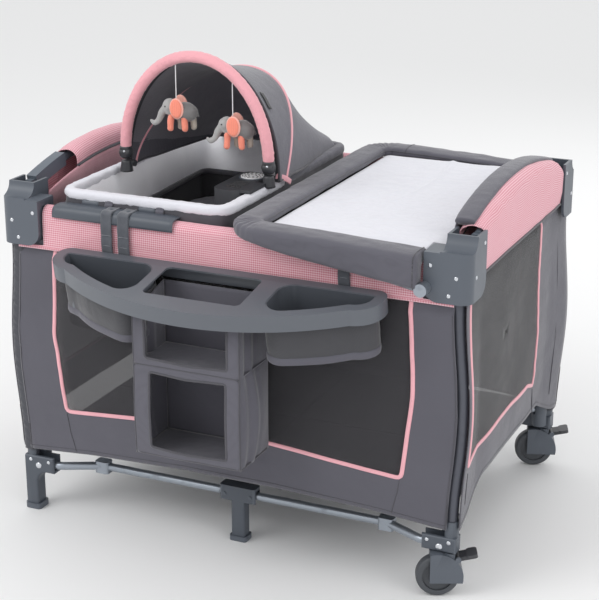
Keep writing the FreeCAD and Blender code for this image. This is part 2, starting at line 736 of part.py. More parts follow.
def end_wall(end):
    """Short side of the enclosure: bowed sheet and the sleeve over the arched rail; end is -1 left, 1 right."""
    cap_y = end_cap_y[end]
    inner = post_x + cloth_in
    y_half = post_y + cloth_out
    step_x = post_x + end_cap_half - cloth
    top_z = arch_centre_z + arch_r
    edge = Part.Wire(bow_line(inner, -y_half, corner_hem_z, band_low_z))
    slope = Part.makePolygon([V(inner, -y_half, band_low_z), V(step_x, -y_half, end_pin_z - 20),
                              V(step_x, -y_half, top_z)])
    back = [item.copy() for item in edge.Edges + slope.Edges]
    for item in back:
        item.translate(V(cloth, 0, 0))
    low = Part.LineSegment(V(inner, -y_half, corner_hem_z), V(inner + cloth, -y_half, corner_hem_z)).toShape()
    top = Part.LineSegment(V(step_x, -y_half, top_z), V(step_x + cloth, -y_half, top_z)).toShape()
    outline = Part.__sortEdges__(edge.Edges + slope.Edges + back + [low, top])
    sheet = Part.Face(Part.Wire(outline)).extrude(V(0, 2 * y_half, 0))
    hem_y = post_y - corner_hem_x
    hem_cut = block((0, 2 * post_x), (-hem_y, hem_y), (0, hem_z))
    over_arch = arch_band((0, 2 * post_x), (0, post_y), 0, y_half - 1)
    cuts = [hem_cut]
    for side in (-1, 1):
        beside = sorted((side * (post_y - corner_wing - corner_gap), side * 2 * post_y))
        cuts.append(block((0, 2 * post_x), beside, (corner_low_z - corner_gap, 2 * post_x)))
        past_cap = sorted((side * cap_y, side * rail_half_y))
        cuts.append(arch_band((0, 2 * post_x), (-sleeve_half - 2, post_y), *past_cap))
    cuts.append(over_arch)
    cuts.append(over_arch.mirror(ORIGIN, AXIS_Y))
    sheet = sheet.cut(cuts)
    cap_rise = end_rail_r + 3.5
    cap_x = (post_x - end_cap_half, post_x + end_cap_half)
    cap = arch_band(cap_x, (-end_cap_depth, cap_rise + cloth), -cap_y, cap_y)
    room = arch_band((cap_x[0] + cloth, cap_x[1] - cloth), (-end_cap_depth - 10, cap_rise),
                     -cap_y - 1, cap_y + 1)
    return join([sheet, cap.cut(room)])


def floor_sheet():
    """Cloth floor between the posts."""
    half_x = post_x - post_r - 6
    half_y = post_y - post_r - 6
    return rounded_block((-half_x, half_x), (-half_y, half_y), (floor_cloth_z, floor_cloth_z + cloth), 30)


# ---- bassinet insert ----
def insert_shell():
    """Hanging full-size bassinet: walls, floor and hooks over the long rails."""
    outer = rounded_block((-insert_x, insert_x), (-insert_y, insert_y),
                          (insert_floor_z, insert_top_z), insert_round)
    inner_x = insert_x - insert_wall
    inner_y = insert_y - insert_wall
    room = rounded_block((-inner_x, inner_x), (-inner_y, inner_y),
                         (insert_floor_z + mattress_gap, insert_top_z + 1), insert_round - insert_wall)
    hooks = []
    over_z = long_cap_z + touch_gap
    reach = post_y + cloth_out + touch_gap
    for x in hook_x:
        x_range = (x - hook_width / 2, x + hook_width / 2)
        for side in (-1, 1):
            hooks.append(block(x_range, sorted((side * inner_y, side * (inner_y + insert_wall))),
                               (insert_top_z - 30, over_z + cloth)))
            hooks.append(block(x_range, sorted((side * inner_y, side * (reach + cloth))),
                               (over_z, over_z + cloth)))
            hooks.append(block(x_range, sorted((side * reach, side * (reach + cloth))),
                               (over_z - 16, over_z + cloth)))
    tab_y = post_y - long_cap_half - air
    x_range = (tab_x - hook_width / 2, tab_x + hook_width / 2)
    for side in (-1, 1):
        hooks.append(block(x_range, sorted((side * inner_y, side * tab_y)),
                           (tab_low_z, mount_low_z - corner_gap)))
    return join([outer.cut(room)] + hooks)


def mattress():
    """Mattress on the insert's floor."""
    half_x = insert_x - insert_wall - 5
    half_y = insert_y - insert_wall - 5
    low_z = insert_floor_z + mattress_gap
    return rounded_block((-half_x, half_x), (-half_y, half_y), (low_z, low_z + mattress_thick),
                         insert_round - 10)


# ---- napper ----
def napper_tub():
    """Napper: padded rim, fabric body and its own mattress."""
    rim_z = (napper_rim_low_z, napper_rim_top_z)
    rim = rounded_block((napper_left, napper_right), (napper_front, napper_rear), rim_z, napper_round)
    body_x = (napper_left + napper_body_inset, napper_right - napper_body_inset)
    body_y = (-napper_body_y, napper_body_y)
    body = rounded_block(body_x, body_y, (napper_floor_z, napper_rim_low_z), 45)
    inner_x = (body_x[0] + napper_wall, body_x[1] - napper_wall)
    inner_y = (body_y[0] + napper_wall, body_y[1] - napper_wall)
    room = rounded_block(inner_x, inner_y, (napper_floor_z + napper_wall, napper_rim_top_z + 1), 41)
    pad_x = (inner_x[0] + 1, inner_x[1] - 1)
    pad_y = (inner_y[0] + 1, inner_y[1] - 1)
    pad_low = napper_floor_z + napper_wall
    pad = rounded_block(pad_x, pad_y, (pad_low, pad_low + napper_pad_thick), 40)
    return Part.makeCompound([join([rim, body]).cut(room), pad])


def napper_mounts():
    """Saddles that carry the napper on the two long rails."""
    inner = post_y - long_cap_half - touch_gap
    outer = post_y + cloth_out + touch_gap
    top_z = long_cap_z + touch_gap
    x_range = (mount_left, mount_right)
    shapes = []
    for side in (-1, 1):
        shell = block(x_range, sorted((side * (inner - mount_wall), side * (outer + mount_wall))),
                      (mount_low_z, top_z + mount_wall))
        shell = round_edges(shell, 4, AXIS_X)
        room = block((mount_left - 1, mount_right + 1), sorted((side * inner, side * outer)), (0, top_z))
        link_y = sorted((side * (inner - mount_wall - 2), side * (inner + 12)))
        link_z = (top_z + mount_wall - 2, napper_rim_low_z)
        links = [block((x - mount_link_half, x + mount_link_half), link_y, link_z)
                 for x in (mount_left + mount_link_inset, mount_right - mount_link_inset)]
        shapes.append(join([shell.cut(room)] + links))
    return Part.makeCompound(shapes)


# ---- toy bar, canopy and toys ----
arch_x = (napper_left + napper_right) / 2 + 25


def arch_edge(y, base_z, half, height):
    """Upper half of an ellipse in an X-Z plane."""
    centre = V(arch_x, y, base_z)
    if height > half:
        ellipse = Part.Ellipse(centre + V(0, 0, height), centre + V(half, 0, 0), centre)
        start, end = -math.pi / 2, math.pi / 2
    else:
        ellipse = Part.Ellipse(centre + V(half, 0, 0), centre + V(0, 0, height), centre)
        start, end = 0, math.pi
    return Part.Wire([ellipse.toShape(start, end)])


def toy_bar():
    """Padded arch with its two end joints."""
    arch = sweep(arch_edge(toy_bar_y, toy_bar_base_z, toy_bar_half, toy_bar_height), toy_bar_r)
    shapes = [arch]
    for side in (-1, 1):
        foot_x = arch_x + side * toy_bar_half
        joint = pin(V(foot_x, toy_bar_y, toy_bar_base_z - 6), AXIS_X, toy_joint_r, 26)
        shapes.append(joint)
    return join(shapes)


def toy_sockets():
    """Posts on the rim that hold the toy bar and the canopy."""
    shapes = []
    for side in (-1, 1):
        foot_x = arch_x + side * toy_bar_half
        low_z = napper_rim_top_z
        top_z = toy_bar_base_z - 6 - toy_joint_r - air
        shapes.append(rod(V(foot_x, toy_bar_y, low_z), V(foot_x, toy_bar_y, top_z), 9))
    return shapes


def quarter_dome(half, depth, height, front_y):
    """Solid half-dome behind the plane y = front_y, over canopy_base_z."""
    ball = Part.makeSphere(1.0)
    matrix = FreeCAD.Matrix()
    matrix.scale(half, depth, height)
    ball = ball.transformGeometry(matrix)
    ball.translate(V(arch_x, canopy_y, canopy_base_z))
    keep = block((arch_x - 2 * half, arch_x + 2 * half), (front_y, canopy_y + 2 * depth),
                 (canopy_base_z + 0.5, canopy_base_z + 2 * height))
    return ball.common(keep)


def canopy_cover():
    """Hood: one curved sheet from the front bow down to the rear."""
    outer = quarter_dome(canopy_half, canopy_depth, canopy_height, canopy_y)
    inner = quarter_dome(canopy_half - canopy_wall, canopy_depth - canopy_wall,
                         canopy_height - canopy_wall, canopy_y - 5)
    return outer.cut(inner)


def canopy_bow():
    """Bow that spreads the hood's front edge."""
    inset = canopy_wall + canopy_bow_r + 2 * air
    y = canopy_y + canopy_bow_r
    half = canopy_half - inset
    knob_r = canopy_bow_r + 2
    pivot_z = napper_rim_top_z + air + knob_r
    height = canopy_base_z + canopy_height - inset - pivot_z
    bow = sweep(arch_edge(y, pivot_z, half, height), canopy_bow_r)
    knobs = [pin(V(arch_x + side * (half - canopy_bow_r), y, pivot_z), AXIS_X, knob_r, 3.5 * canopy_bow_r)
             for side in (-1, 1)]
    return join([bow] + knobs)


def bar_underside(x):
    """Height of the toy bar's lower face over a place along X."""
    reach = (x - arch_x) / toy_bar_half
    drop = math.sqrt(1 - reach ** 2)
    slope = toy_bar_height / toy_bar_half * reach / drop
    return toy_bar_base_z + toy_bar_height * drop - toy_bar_r * math.hypot(1, slope)


def cord_top(x):
    """Point where a toy's cord leaves the bar, clear of the bar's slope."""
    slope = abs(bar_underside(x + cord_r) - bar_underside(x - cord_r)) / 2
    return V(x, toy_bar_y, bar_underside(x) - touch_gap - slope)


def toy_cord(x):
    """Taut cord between the toy bar and a toy."""
    top = cord_top(x)
    return rod(top - V(0, 0, cord_length), top, cord_r)


def toy_animal(x):
    """Stuffed elephant hanging on its cord."""
    top = cord_top(x) - V(0, 0, cord_length)
    r = toy_body_r
    tab = rod(top - V(0, 0, 8), top, 3)
    body = Part.makeSphere(r, top + V(10, 0, -2 - r))
    head_at = top + V(-20, 0, -r + 2)
    head = Part.makeSphere(0.8 * r, head_at)
    knee = head_at + V(-22, 0, -26)
    tip = knee + V(-14, 0, -2)
    trunk = [rod(head_at, knee, 6.2), Part.makeSphere(6.4, knee), rod(knee, tip, 5.8)]
    legs = []
    for leg_x in (-4, 24):
        foot_at = top + V(leg_x, 0, -2.6 * r)
        legs.append(rod(foot_at, foot_at + V(0, 0, r), 9))
    toy = body
    for piece in [head, tab] + trunk + legs:
        toy = toy.fuse(piece)
    return toy.removeSplitter()


# ---- music unit ----
def music_unit():
    """Sound unit clipped to the napper's right wall."""
    clear = napper_right - napper_body_inset - napper_wall - 1
    body = rounded_block((unit_left, clear), (unit_front, unit_rear), (unit_low_z, unit_top_z), unit_round)
    lip = block((clear - 20, napper_right - 4), (unit_front + 12, toy_bar_y - 12),
                (napper_rim_top_z + air, unit_top_z))
    well = rod(button_centre() - V(0, 0, button_travel + 1), button_centre() + V(0, 0, 20), button_r + air)
    return join([body, lip]).cut(well)


def button_centre():
    """Middle of the round button, on the unit's top."""
    return V((unit_left + napper_right - napper_body_inset) / 2 + 4, unit_rear - button_r - 14, unit_top_z)


def music_button():
    """Round push pad."""
    low = button_centre() - V(0, 0, 1)
    return rod(low, low + V(0, 0, 1 + button_proud), button_r)


# ---- changing table ----
def changer_loop():
    """Wire of the changing table's tube: two sides and the left cross piece."""
    y = changer_tube_y
    left_x = changer_left + changer_rim_width / 2
    left_z = changer_rim_top_z - 10
    loop = [V(changer_pin_x, -y, changer_pin_z), V(left_x, -y, left_z), V(left_x, y, left_z),
            V(changer_pin_x, y, changer_pin_z)]
    return rounded_path(loop, 40)[0]


def changer_frame():
    """Bent tube and the two pivot discs beside the corner castings."""
    shapes = [sweep(changer_loop(), changer_tube_r)]
    start = V(changer_pin_x, post_y + corner_reach + air, changer_pin_z)
    disc = rod(start, V(changer_pin_x, changer_tube_y + changer_tube_r + 3, changer_pin_z), changer_disc_r)
    return join(shapes + [disc, mirrored(disc, 1, -1)])


def side_rim():
    """Padded rim along the rear side tube, outside the long rail."""
    y_in = post_y + cloth_out + 2 * touch_gap + cloth + 0.6
    end_x = changer_pin_x - 5
    outline = [(changer_left, changer_rim_top_z), (end_x, changer_rim_end_z), (end_x, changer_pin_z - 2),
               (0.6 * changer_pin_x, changer_pin_z + 16), (0.2 * changer_pin_x, changer_pin_z + 38),
               (changer_left, long_cap_z)]
    points = [V(x, y_in, z) for x, z in outline]
    rim = prism(points, V(0, changer_outer_y - y_in, 0))
    shelf_low_z = changer_pad_low_z
    outline = [(changer_left, changer_rim_top_z), (end_x, changer_rim_end_z), (end_x, shelf_low_z),
               (changer_left, shelf_low_z)]
    points = [V(x, changer_inner_y, z) for x, z in outline]
    shelf = prism(points, V(0, y_in + 1 - changer_inner_y, 0))
    swing_way = pin(V(changer_pin_x, post_y, changer_pin_z), AXIS_Y, changer_swing_r,
                    2 * (corner_reach + 2 * air))
    return join([rim, shelf]).cut(swing_way)


def end_pad():
    """Padded strip of the changing table that lies over the arched end rail."""
    y_half = post_y - corner_wing - 4 * corner_gap
    rise = end_rail_r + 3.5 + cloth + touch_gap
    over = arch_band((post_x - end_cap_half - 3, post_x + end_pad_out), (rise, rise + end_pad_thick),
                     -y_half, y_half)
    skirt = arch_band((post_x - end_cap_half - 3, post_x - end_cap_half - air), (-end_pad_drop, rise + 1),
                      -y_half, y_half)
    pad_top_z = changer_pad_low_z + changer_pad_thick + air
    pieces = [over, skirt]
    for side in (-1, 1):
        corner_y = sorted((side * (y_half - 20), side * (post_y - corner_reach - 6)))
        inner_x = post_x - corner_wing
        end_y = sorted((side * (y_half - 20), side * y_half))
        pieces.append(block((inner_x - 24, post_x - end_cap_half - 3), end_y, (pad_top_z, pad_top_z + 20)))
        pieces.append(block((inner_x - 24, inner_x - 4), corner_y, (pad_top_z, pad_top_z + 16)))
    return join(pieces)


def changer_rim():
    """Padded cover around the tube."""
    side = side_rim()
    left = block((changer_left, changer_left + changer_rim_width), (-changer_outer_y, changer_outer_y),
                 (changer_pad_low_z, changer_rim_top_z))
    around = join([side, mirrored(side, 1, -1), left])
    pivots = pin(V(changer_pin_x, 0, changer_pin_z), AXIS_Y, changer_disc_r + air, 4 * post_y)
    return around.cut([sweep(changer_loop(), changer_tube_r + air), pivots])


def changer_pad():
    """Changing pad between the rims, and its strip over the end rail."""
    x_range = (changer_left + changer_rim_width + 1, post_x - end_cap_half - 5)
    y_half = changer_inner_y - 1
    z_range = (changer_pad_low_z, changer_pad_low_z + changer_pad_thick)
    notch_x = (post_x - corner_wing - 4, post_x)
    notches = [block(notch_x, sorted((side * (post_y - corner_reach - 4), side * 2 * post_y)), (0, 2 * post_x))
               for side in (-1, 1)]
    pad = round_edges(block(x_range, (-y_half, y_half), z_range).cut(notches), 4, AXIS_Z)
    return Part.makeCompound([pad, end_pad()])


# ---- organizer ----
def tray_outline(inset, z):
    """Face of the tray's outline, moved in by inset: straight back, bowed front."""
    round_r = 26.0
    diagonal_r = round_r * (1 - math.sqrt(0.5))
    left, right, back = tray_left, tray_right, tray_back
    low_left = V(left + tray_shoulder_x, tray_shoulder_y, z)
    low_right = V(right - tray_shoulder_x, tray_shoulder_y, z)
    bulge_x = 0.25 * tray_shoulder_x
    bulge_y = (tray_shoulder_y + tray_corner_y) / 2 - 8
    edges = [
        Part.LineSegment(V(left + round_r, back, z), V(right - round_r, back, z)),
        Part.Arc(V(right - round_r, back, z), V(right - diagonal_r, back - diagonal_r, z),
                 V(right, back - round_r, z)),
        Part.LineSegment(V(right, back - round_r, z), V(right, tray_corner_y, z)),
        Part.Arc(V(right, tray_corner_y, z), V(right - bulge_x, bulge_y, z), low_right),
        Part.Arc(low_right, V((left + right) / 2, tray_front, z), low_left),
        Part.Arc(low_left, V(left + bulge_x, bulge_y, z), V(left, tray_corner_y, z)),
        Part.LineSegment(V(left, tray_corner_y, z), V(left, back - round_r, z)),
        Part.Arc(V(left, back - round_r, z), V(left + diagonal_r, back - diagonal_r, z),
                 V(left + round_r, back, z))]
    wire = Part.Wire([edge.toShape() for edge in edges])
    return Part.Face(wire.makeOffset2D(-inset) if inset else wire)


def bin_outline(side, inset, z, depth):
    """Solid under a bin's opening, moved in by inset."""
    solid = tray_outline(tray_margin, z).extrude(V(0, 0, 1))
    keep_x = sorted((side * bin_inner[side], side * 2 * post_x))
    solid = solid.common(block(keep_x, (2 * tray_front, tray_back), (z - 1, z + 2)))
    solid = round_edges(solid, bin_round, AXIS_Z, lambda edge: abs(edge.CenterOfMass.x) < bin_inner[side] + 1)
    low_face = min(solid.Faces, key=lambda face: face.CenterOfMass.z)
    wire = low_face.OuterWire.makeOffset2D(-inset) if inset else low_face.OuterWire
    return Part.Face(wire).extrude(V(0, 0, depth))


def organizer_tray():
    """Tray with a middle opening and two bins with ring bottoms."""
    deck = tray_outline(0, tray_low_z).extrude(V(0, 0, tray_top_z - tray_low_z))
    room = tray_outline(tray_wall, tray_low_z - 1).extrude(V(0, 0, tray_top_z - tray_low_z + 1 - tray_wall))
    shell = deck.cut(room)
    middle = rounded_block((-slot_half, slot_half), (tray_front + 50, tray_back - 22),
                           (tray_low_z - 1, tray_top_z + 1), 12)
    openings = [middle]
    bins = []
    for side in (-1, 1):
        depth = tray_top_z - bin_depth_z
        openings.append(bin_outline(side, 0, bin_depth_z, depth + 1))
        cup = bin_outline(side, air, bin_depth_z, depth - 1)
        room = bin_outline(side, air + bin_wall, bin_depth_z, depth + 1)
        room.translate(V(0, 0, bin_wall))
        cup = cup.cut(room)
        bins.append(cup)
    lugs = []
    for low_x, high_x in left_straps + (right_strap,):
        lugs.append(block((low_x, high_x), (tray_back - 1, -post_y - cloth_out - 1),
                          (tray_low_z + 4, tray_top_z - 10)))
    tilted = [hung(shape) for shape in [shell.cut(openings)] + bins]
    tilted[0] = join([tilted[0]] + lugs)
    return Part.makeCompound(tilted)


def hung(shape):
    """Shape turned about the tray's upper rear edge, as the tray hangs on its straps."""
    shape = shape.copy()
    shape.rotate(V(0, tray_back, tray_top_z), AXIS_X, tray_tilt)
    return shape


def strap(x_range, over_z, outer_y):
    """Strap over the front rail, down to the tray."""
    inner_y = post_y - long_cap_half - touch_gap - mount_wall - air
    low_z = tray_top_z - 10 + air
    drop = block(x_range, (-outer_y - strap_wall, -outer_y), (low_z, over_z + strap_wall))
    over = block(x_range, (-outer_y, -inner_y + strap_wall), (over_z, over_z + strap_wall))
    back = block(x_range, (-inner_y, -inner_y + strap_wall), (over_z - 30, over_z + strap_wall))
    foot_y = (-outer_y - strap_wall, -post_y - cloth_out - 1)
    tab = block(x_range, foot_y, (low_z, low_z + strap_wall))
    return join([drop, over, back, tab])


def organizer_fabric():
    """Straps and the two-level nappy stacker under the tray."""
    mount_over = long_cap_z + touch_gap + mount_wall + air
    mount_out = post_y + cloth_out + touch_gap + mount_wall + air
    shapes = [strap(x_range, mount_over, mount_out) for x_range in left_straps]
    hook_out = post_y + cloth_out + touch_gap
    shapes.append(strap(right_strap, long_cap_z + touch_gap, hook_out))
    x_range = (stacker_left, stacker_right)
    y_range = (stacker_front, stacker_back)
    top_z = tray_top_z - tray_wall - air
    above = hung(block((2 * tray_left, 2 * tray_right), (2 * tray_front, 0), (top_z, 2 * top_z)))
    bag = block(x_range, y_range, (stacker_low_z, top_z))
    wall = stacker_wall
    inner_x = (stacker_left + wall, stacker_right - wall)
    inner_y = (stacker_front + wall, stacker_back - wall)
    upper = block(inner_x, inner_y, (stacker_split_z + wall, top_z + 1))
    lower = block(inner_x, inner_y, (stacker_low_z + wall, stacker_split_z))
    window_x = (stacker_left + stacker_frame, stacker_right - stacker_frame)
    windows = [block(window_x, (stacker_front - 1, stacker_front + wall + 1), z_range)
               for z_range in ((stacker_low_z + stacker_frame, stacker_split_z - 12),
                               (stacker_split_z + stacker_frame, stacker_window_z))]
    shapes.append(bag.cut([upper, lower, above] + windows))
    return Part.makeCompound(shapes)


# ---- assembly ----
def build():
    """All sub-parts by name."""
    parts = {"central_hub": central_hub(), "floor_sheet": floor_sheet()}
    for name, (side_x, side_y) in corners.items():
        parts["corner_post_" + name] = mirrored(corner_post(), side_x, side_y)
        parts["top_corner_" + name] = mirrored(top_corner(), side_x, side_y)
        parts["floor_tube_" + name] = mirrored(floor_tube(), side_x, side_y)
        parts["side_bar_" + name] = mirrored(side_bar(), side_x, side_y)
        end = "left" if side_x < 0 else "right"
        side = "front" if side_y < 0 else "rear"
        parts[side + "_rail_" + end] = mirrored(long_rail(side_x < 0), side_x, side_y)
        parts[end + "_rail_" + side] = mirrored(end_rail(-side_y, side_x < 0), side_x, side_y)
    for name in ("fl", "rl"):
        parts["foot_" + name] = mirrored(foot(), *corners[name])
    for name in ("fr", "rr"):
        parts["caster_housing_" + name] = mirrored(caster_housing(), *corners[name])
        parts["caster_fork_" + name] = placed_caster(caster_fork(), name)
        parts["caster_wheel_" + name] = placed_caster(caster_wheel(), name)
        parts["brake_lever_" + name] = placed_caster(brake_lever(), name)
    for side, sign in (("front", -1), ("rear", 1)):
        parts["centre_foot_" + side] = mirrored(centre_foot(), 1, sign)
        parts["wall_" + side] = mirrored(long_wall(), 1, sign)
    parts["wall_left"] = mirrored(end_wall(-1), -1, 1)
    parts["wall_right"] = end_wall(1)
    parts["bassinet_insert"] = insert_shell()
    parts["insert_mattress"] = mattress()
    parts["napper_tub"] = napper_tub()
    parts["napper_mounts"] = Part.makeCompound([napper_mounts()] + toy_sockets())
    parts["toy_bar"] = toy_bar()
    parts["canopy_bow"] = canopy_bow()
    parts["canopy_cover"] = canopy_cover()
    for side, x in zip(("left", "right"), toy_x):
        parts["toy_" + side] = toy_animal(x)
        parts["toy_cord_" + side] = toy_cord(x)
    parts["music_unit"] = music_unit()
    parts["music_button"] = music_button()
    parts["changer_frame"] = changer_frame()
    parts["changer_rim"] = changer_rim()
    parts["changer_pad"] = changer_pad()
    parts["organizer_tray"] = organizer_tray()
    parts["organizer_fabric"] = organizer_fabric()
    return parts


def main():
    """Write one STEP file per sub-part."""
    os.makedirs("parts", exist_ok=True)
    for name, shape in build().items():
        shape.exportStep("parts/%s.step" % name)
        print(name, len(shape.Solids), shape.isValid(), round(shape.Volume / 1000, 1))


main()
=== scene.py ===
"""Folding playpen with bassinet insert, hooded napper, changing table and organizer: its looks."""
import math

import bmesh
import bpy
from mathutils import Matrix, Vector, noise


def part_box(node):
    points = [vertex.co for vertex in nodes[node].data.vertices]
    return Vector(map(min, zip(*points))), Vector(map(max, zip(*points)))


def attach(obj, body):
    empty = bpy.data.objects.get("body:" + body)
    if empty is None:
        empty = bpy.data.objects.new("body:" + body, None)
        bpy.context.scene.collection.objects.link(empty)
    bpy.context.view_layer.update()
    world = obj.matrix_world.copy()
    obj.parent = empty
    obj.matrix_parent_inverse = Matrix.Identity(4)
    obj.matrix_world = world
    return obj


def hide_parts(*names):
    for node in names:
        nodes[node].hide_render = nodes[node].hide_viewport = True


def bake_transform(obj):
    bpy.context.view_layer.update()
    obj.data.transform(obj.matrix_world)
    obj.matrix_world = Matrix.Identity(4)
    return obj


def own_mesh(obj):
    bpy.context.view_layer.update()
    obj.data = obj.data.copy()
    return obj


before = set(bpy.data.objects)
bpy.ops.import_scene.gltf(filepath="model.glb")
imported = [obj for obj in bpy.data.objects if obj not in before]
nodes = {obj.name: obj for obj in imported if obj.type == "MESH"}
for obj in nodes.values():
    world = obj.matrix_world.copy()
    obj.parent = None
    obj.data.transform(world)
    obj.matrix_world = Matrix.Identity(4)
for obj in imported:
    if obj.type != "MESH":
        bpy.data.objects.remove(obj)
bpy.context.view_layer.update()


def ends(node):
    """Low and high corners of a CAD node's box."""
    low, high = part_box(node)
    return Vector(low), Vector(high)


# ---- places taken from the frame ----
POST_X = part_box("floor_sheet")[1][0] + 0.0185
POST_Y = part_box("floor_sheet")[1][1] + 0.0185
CORNERS = {"fl": (-1, -1), "fr": (1, -1), "rl": (-1, 1), "rr": (1, 1)}


# ---- colours ----
def srgb(red, green, blue):
    """Linear colour from display values out of 255."""
    values = []
    for channel in (red, green, blue):
        share = channel / 255
        values.append(share / 12.92 if share <= 0.04045 else ((share + 0.055) / 1.055) ** 2.4)
    return (*values, 1.0)


PINK = srgb(233, 172, 181)
PINK_DEEP = srgb(219, 122, 136)
GREY_CLOTH = srgb(88, 87, 96)
GREY_DARK = srgb(72, 71, 77)
GREY_PLASTIC = srgb(76, 82, 91)
SILVER = srgb(158, 165, 174)
WHITE = srgb(218, 218, 225)
ELEPHANT = srgb(160, 159, 158)
CORAL = srgb(240, 142, 120)


# ---- materials ----
class Shader:
    """A material's node tree, with short calls to add and join nodes."""

    def __init__(self, name, colour, roughness):
        self.material = bpy.data.materials.new(name)
        self.material.use_nodes = True
        self.tree = self.material.node_tree
        self.surface = self.tree.nodes["Principled BSDF"]
        self.set(self.surface, {"Base Color": colour, "Roughness": roughness})
        self.material.diffuse_color = colour

    def set(self, node, values):
        """Puts values or other nodes' outputs on a node's inputs."""
        for key, value in values.items():
            if isinstance(value, bpy.types.NodeSocket):
                self.tree.links.new(value, node.inputs[key])
            else:
                node.inputs[key].default_value = value
        return node

    def node(self, kind, values=None, **settings):
        """Adds a node."""
        made = self.tree.nodes.new("ShaderNode" + kind)
        for key, value in settings.items():
            setattr(made, key, value)
        return self.set(made, values or {})

    def place(self, space="Object"):
        """Coordinates: the row frame's metres, or the mesh's own UV metres."""
        return self.node("TexCoord").outputs[space]

    def math(self, operation, first, second=0.0, third=0.0):
        """One step of arithmetic."""
        return self.node("Math", {0: first, 1: second, 2: third}, operation=operation).outputs[0]

    def mix(self, factor, first, second):
        """Colour between two, by factor."""
        made = self.node("Mix", data_type="RGBA")
        self.set(made, {"Factor": factor})
        for key, value in ((6, first), (7, second)):
            if isinstance(value, bpy.types.NodeSocket):
                self.tree.links.new(value, made.inputs[key])
            else:
                made.inputs[key].default_value = value
        return made.outputs[2]

    def ramp(self, factor, low, high):
        """Factor stretched from the span low to high onto 0 to 1."""
        return self.node("MapRange", {"Value": factor, "From Min": low, "From Max": high},
                         interpolation_type="SMOOTHSTEP").outputs[0]

    def noise(self, scale, detail=3.0, space=None):
        """Even noise, from 0 to 1."""
        return self.node("TexNoise", {"Vector": space or self.place(), "Scale": scale,
                                      "Detail": detail}).outputs[0]

    def bump(self, height, strength, distance):
        """Adds relief under what is there."""
        made = self.node("Bump", {"Height": height, "Strength": strength, "Distance": distance})
        before = self.surface.inputs["Normal"]
        if before.is_linked:
            self.tree.links.new(before.links[0].from_socket, made.inputs["Normal"])
        self.set(self.surface, {"Normal": made.outputs[0]})

    def threads(self, pitch, space):
        """Plain weave: ridges both ways, from 0 to 1."""
        parts = self.node("SeparateXYZ", {0: space})
        ridges = [self.math("ABSOLUTE", self.math("SINE",
                                                  self.math("MULTIPLY", parts.outputs[axis],
                                                            math.pi / pitch)))
                  for axis in range(3)]
        return self.math("MULTIPLY", self.math("ADD", self.math("ADD", ridges[0], ridges[1]), ridges[2]), 0.4)


def cloth(name, colour, pitch=0.0011, sheen=0.35, wrinkle=0.5, space="Object", worn=0.12):
    """Woven fabric: weave, slight slub, soft wrinkles and uneven colour."""
    shader = Shader(name, colour, 0.82)
    place = shader.place(space)
    weave = shader.threads(pitch, place)
    slub = shader.noise(420, 2.0, place)
    patches = shader.noise(9.0, 4.0)
    darker = [channel * (1 - worn) for channel in colour[:3]] + [1]
    lighter = [min(1, channel * (1 + worn)) for channel in colour[:3]] + [1]
    tone = shader.math("ADD", shader.math("MULTIPLY", weave, 0.45), shader.math("MULTIPLY", slub, 0.3))
    tone = shader.math("ADD", tone, shader.math("MULTIPLY", patches, 0.35))
    shader.set(shader.surface, {
        "Base Color": shader.mix(shader.ramp(tone, 0.25, 0.85), darker, lighter),
        "Sheen Weight": sheen, "Sheen Roughness": 0.45,
        "Roughness": shader.node("MapRange", {"Value": slub, "To Min": 0.72, "To Max": 0.92}).outputs[0]})
    shader.bump(shader.noise(26.0, 3.0), wrinkle, 0.003)
    shader.bump(weave, 0.35, 0.0004)
    return shader


def gingham(name, pitch=0.0046):
    """Small woven check in pink and white, on the mesh's own UV metres."""
    shader = cloth(name, PINK, space="UV")
    parts = shader.node("SeparateXYZ", {0: shader.place("UV")})
    bands = []
    for axis in range(2):
        wave = shader.math("SINE", shader.math("MULTIPLY", parts.outputs[axis], 2 * math.pi / pitch))
        bands.append(shader.ramp(wave, -0.35, 0.35))
    both = shader.math("ADD", shader.math("MULTIPLY", bands[0], 0.42),
                       shader.math("MULTIPLY", bands[1], 0.58))
    check = shader.mix(both, srgb(206, 118, 134), srgb(240, 208, 215))
    shade = shader.noise(12.0, 4.0)
    shader.set(shader.surface, {"Base Color": shader.mix(shader.math("MULTIPLY", shade, 0.2), check,
                                                         PINK_DEEP),
                                "Sheen Weight": 0.15})
    return shader


def plastic(name, colour, roughness=0.42):
    """Moulded plastic: fine grain, faint handling marks and paler worn edges."""
    shader = Shader(name, colour, roughness)
    grain = shader.noise(1500, 2.0)
    haze = shader.noise(14.0, 5.0)
    edge = shader.node("NewGeometry").outputs["Pointiness"]
    worn = [min(1, channel * 1.35 + 0.02) for channel in colour[:3]] + [1]
    body = shader.mix(shader.math("MULTIPLY", haze, 0.35), colour,
                      [channel * 0.86 for channel in colour[:3]] + [1])
    shader.set(shader.surface, {
        "Base Color": shader.mix(shader.math("MULTIPLY", shader.ramp(edge, 0.52, 0.6), 0.5), body, worn),
        "Roughness": shader.node("MapRange", {"Value": haze, "To Min": roughness - 0.07,
                                              "To Max": roughness + 0.12}).outputs[0],
        "Coat Weight": 0.08})
    shader.bump(grain, 0.12, 0.0003)
    return shader


